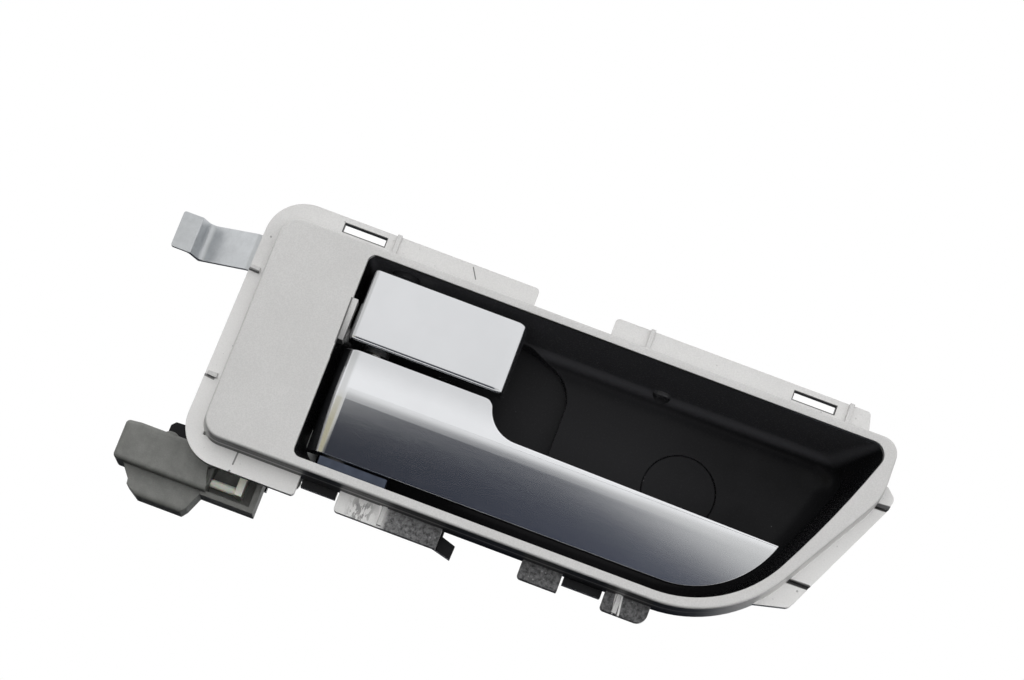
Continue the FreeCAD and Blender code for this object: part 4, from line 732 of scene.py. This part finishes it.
# Start and end of the soft steps on the cards, in metres.
BORDER_STEP = (-0.18, 0.15)   # height over the dark part's border
SHADE_RIGHT = (-0.2, 0.12)    # x, where the dark part gets lighter
CARD_LOW = (0.06, 0.22)       # z, where the white gets its full strength
CARD_LEFT = (-0.75, -0.35)    # x, the left end
END_LOW = (-0.3, 0.1)         # z, on the left end
FLAG_AWAY = (-0.2, 4.0)       # y, on the flag
LOW_WHITE = (0.7, 0.7, 0.69, 1.0)
END_BROWN = (0.45, 0.42, 0.30, 1.0)
END_GREY = (0.72, 0.72, 0.71, 1.0)
# Heights of a direction between which the light from the sky grows, and that light.
SKY_HEIGHTS = (-0.3, 0.6)
SKY_LIGHT = (0.05, 0.8)
LAMP_AIM = (-0.03, 0.0, 0.0)
# Name, place, side and brightness of each soft lamp.
SOFT_LAMPS = (("key_lamp", (-0.7, -1.1, 0.9), 1.3, 1.0), ("fill_lamp", (1.0, -1.1, 0.1), 1.2, 1.2),
              ("front_lamp", (-0.1, -1.5, -0.15), 1.0, 3.1))
CAMERA_TARGET = (-0.033, -0.0365, 0.0086)
SENSOR = 36.0         # millimetres
PICTURE = 1024.0      # pixels across
TARGET_RIGHT = 78.0   # pixels from the picture's middle to the target
TARGET_DOWN = 65.0


def stage_plane(name, centre, across, upward, finish):
    """A flat card of the stage: its centre and its two half sides."""
    shape = bmesh.new()
    across, upward = Vector(across), Vector(upward)
    columns = Matrix((across, upward, across.cross(upward))).transposed().to_4x4()
    bmesh.ops.create_grid(shape, x_segments=1, y_segments=1, size=1.0, matrix=Matrix.Translation(centre) @ columns)
    mesh = bpy.data.meshes.new(name)
    shape.to_mesh(mesh)
    shape.free()
    card = bpy.data.objects.new(name, mesh)
    bpy.context.scene.collection.objects.link(card)
    wear(card, finish)
    return card


def white_world():
    """White for the camera and in reflections; the light it gives is stronger from above."""
    world = bpy.data.worlds.new("studio")
    bpy.context.scene.world = world
    world.use_nodes = True
    tree = world.node_tree
    path = put(tree, "LightPath")
    seen = maths(tree, "ADD", path["Is Camera Ray"], maths(tree, "ADD", path["Is Glossy Ray"],
                                                         path["Is Transmission Ray"]))
    height = parts(tree, put(tree, "TexCoord")["Generated"])[2]
    given = ramp(tree, height, *SKY_HEIGHTS, *SKY_LIGHT)
    strength = put(tree, "Mix", {"data_type": "FLOAT", "clamp_factor": True}, i0=seen, i2=given, i3=1.0)[0]
    feed(tree, tree.nodes["Background"], Color=WHITE, Strength=strength)


def glowing(name, tint):
    """Start the finish of a card that glows by itself: its tree, its shader, the place on it and its tint."""
    made, tree, shader, place = material(name, Base_Color=(0.0, 0.0, 0.0, 1.0), Roughness=1.0, Specular_IOR_Level=0.0,
                                         Emission_Strength=1.0)
    return made, tree, shader, parts(tree, place), solid(tint)


def front_card(settings):
    """The studio card in front: white, dimmer low down and at its left end, dark below a soft bent border."""
    made, tree, shader, place, dark = glowing("front_card", settings.shade)
    arms = [maths(tree, "MULTIPLY_ADD", place[0], slope, height) for slope, height in (RIGHT_ARM, LEFT_ARM)]
    border = maths(tree, "SMOOTH_MIN", *arms, BEND)
    lit = ramp(tree, maths(tree, "SUBTRACT", place[2], border), *BORDER_STEP)
    shade = blend(tree, ramp(tree, place[0], *SHADE_RIGHT), dark, solid(settings.shade, 2.8))
    dim = blend(tree, ramp(tree, place[2], *CARD_LOW), LOW_WHITE, WHITE)
    end_tone = blend(tree, ramp(tree, place[2], *END_LOW), END_BROWN, END_GREY)
    white = blend(tree, ramp(tree, place[0], *CARD_LEFT), end_tone, dim)
    feed(tree, shader, Emission_Color=blend(tree, lit, shade, white))
    return made


def dark_flag(settings):
    """The dark flag low behind the object, lighter away from it."""
    made, tree, shader, place, dark = glowing("dark_flag", settings.shade)
    step = ramp(tree, place[1], *FLAG_AWAY)
    feed(tree, shader, Emission_Color=blend(tree, step, dark, solid(settings.shade, 2.0)))
    return made


def reflected_only(card):
    """Show a card in reflections alone."""
    card.visible_camera = False
    card.visible_diffuse = False
    card.visible_shadow = False
    card.visible_transmission = False
    card.visible_volume_scatter = False


def soft_lamp(name, place, target, size, radiance):
    """A square soft lamp of a given brightness, facing a target, that shows in no reflection."""
    lamp = bpy.data.lights.new(name, "AREA")
    lamp.size = size
    lamp.energy = radiance * math.pi * size * size
    made = bpy.data.objects.new(name, lamp)
    made.location = place
    made.rotation_mode = "QUATERNION"
    made.rotation_quaternion = (Vector(target) - Vector(place)).to_track_quat("-Z", "Y")
    made.visible_glossy = False
    bpy.context.scene.collection.objects.link(made)


def photo_camera(settings):
    """The camera that took the photograph: below and left of the front, and rolled."""
    target = Vector(CAMERA_TARGET)
    flat = math.cos(settings.pitch)
    ahead = Vector((math.sin(settings.yaw) * flat, math.cos(settings.yaw) * flat, math.sin(settings.pitch)))
    level = ahead.cross(Vector((0, 0, 1))).normalized()
    upright = level.cross(ahead)
    right = level * math.cos(settings.roll) + upright * math.sin(settings.roll)
    up = upright * math.cos(settings.roll) - level * math.sin(settings.roll)
    focus = settings.lens / SENSOR * PICTURE
    aim = (ahead - right * (TARGET_RIGHT / focus) + up * (TARGET_DOWN / focus)).normalized()
    right = (right - aim * right.dot(aim)).normalized()
    up = right.cross(aim)
    data = bpy.data.cameras.new("photo_camera")
    data.lens = settings.lens
    data.sensor_width = SENSOR
    data.clip_start = 0.01
    data.clip_end = 50.0
    made = bpy.data.objects.new("photo_camera", data)
    columns = Matrix((right, up, -aim)).transposed()
    made.matrix_world = Matrix.Translation(target - ahead * settings.distance) @ columns.to_4x4()
    bpy.context.scene.collection.objects.link(made)
    bpy.context.scene.camera = made


def plain(name, rgb):
    """A matt stage colour with a trace of unevenness."""
    made, tree, shader, place = material(name, Roughness=0.9)
    feed(tree, shader, Base_Color=drift(tree, place, rgb, 0.5, 0.985, 1.015)["Color"])
    return made


class HANDLE_OT_stage(bpy.types.Operator):
    """Make the floor, the light and the camera"""
    bl_idname = "handle.stage"
    bl_label = "Stage"

    def execute(self, context):
        settings = context.scene.handle_stage
        white_world()
        pale = plain("pale_floor", settings.floor)
        floor = stage_plane("floor", (0, 0, settings.floor_z), *FLOOR_SIDES, pale)
        floor.visible_diffuse = False
        floor.visible_glossy = False
        reflected_only(stage_plane("front_card", *FRONT_CARD, front_card(settings)))
        reflected_only(stage_plane("dark_flag", *DARK_FLAG, dark_flag(settings)))
        for name, place, size, radiance in SOFT_LAMPS:
            soft_lamp(name, place, LAMP_AIM, size, radiance * settings.lamps)
        photo_camera(settings)
        context.scene.view_settings.view_transform = "Standard"
        return {"FINISHED"}


class HANDLE_PT_panel(bpy.types.Panel):
    """Door handle"""
    bl_idname = "HANDLE_PT_panel"
    bl_label = "Door handle"
    bl_space_type = "VIEW_3D"
    bl_region_type = "UI"
    bl_category = "Handle"

    def draw(self, context):
        for operator in OPERATORS:
            self.layout.operator(operator.bl_idname)
        for name in GROUPED:
            settings = getattr(context.scene, name)
            box = self.layout.box()
            for key in settings.bl_rna.properties.keys():
                if key not in ("rna_type", "name"):
                    box.prop(settings, key)


GROUPED = {
    "handle_bezel": HANDLE_PG_bezel,
    "handle_levers": HANDLE_PG_levers,
    "handle_moulding": HANDLE_PG_moulding,
    "handle_hardware": HANDLE_PG_hardware,
    "handle_bracket": HANDLE_PG_bracket,
    "handle_stage": HANDLE_PG_stage,
}
OPERATORS = (HANDLE_OT_bezel, HANDLE_OT_housing, HANDLE_OT_levers, HANDLE_OT_pivot, HANDLE_OT_cranks,
             HANDLE_OT_strap, HANDLE_OT_bracket, HANDLE_OT_stage)


def register():
    """Register every class and its settings."""
    for kind in (*GROUPED.values(), *OPERATORS, HANDLE_PT_panel):
        bpy.utils.register_class(kind)
    for name, kind in GROUPED.items():
        setattr(bpy.types.Scene, name, PointerProperty(type=kind))


def unregister():
    """Take the settings and classes away again."""
    for name in GROUPED:
        delattr(bpy.types.Scene, name)
    for kind in reversed((*GROUPED.values(), *OPERATORS, HANDLE_PT_panel)):
        bpy.utils.unregister_class(kind)


def main():
    """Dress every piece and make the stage."""
    register()
    bpy.ops.handle.bezel()
    bpy.ops.handle.housing()
    bpy.ops.handle.levers()
    bpy.ops.handle.pivot()
    bpy.ops.handle.cranks()
    bpy.ops.handle.strap()
    bpy.ops.handle.bracket()
    bpy.ops.handle.stage()


if __name__ == "__main__":
    main()
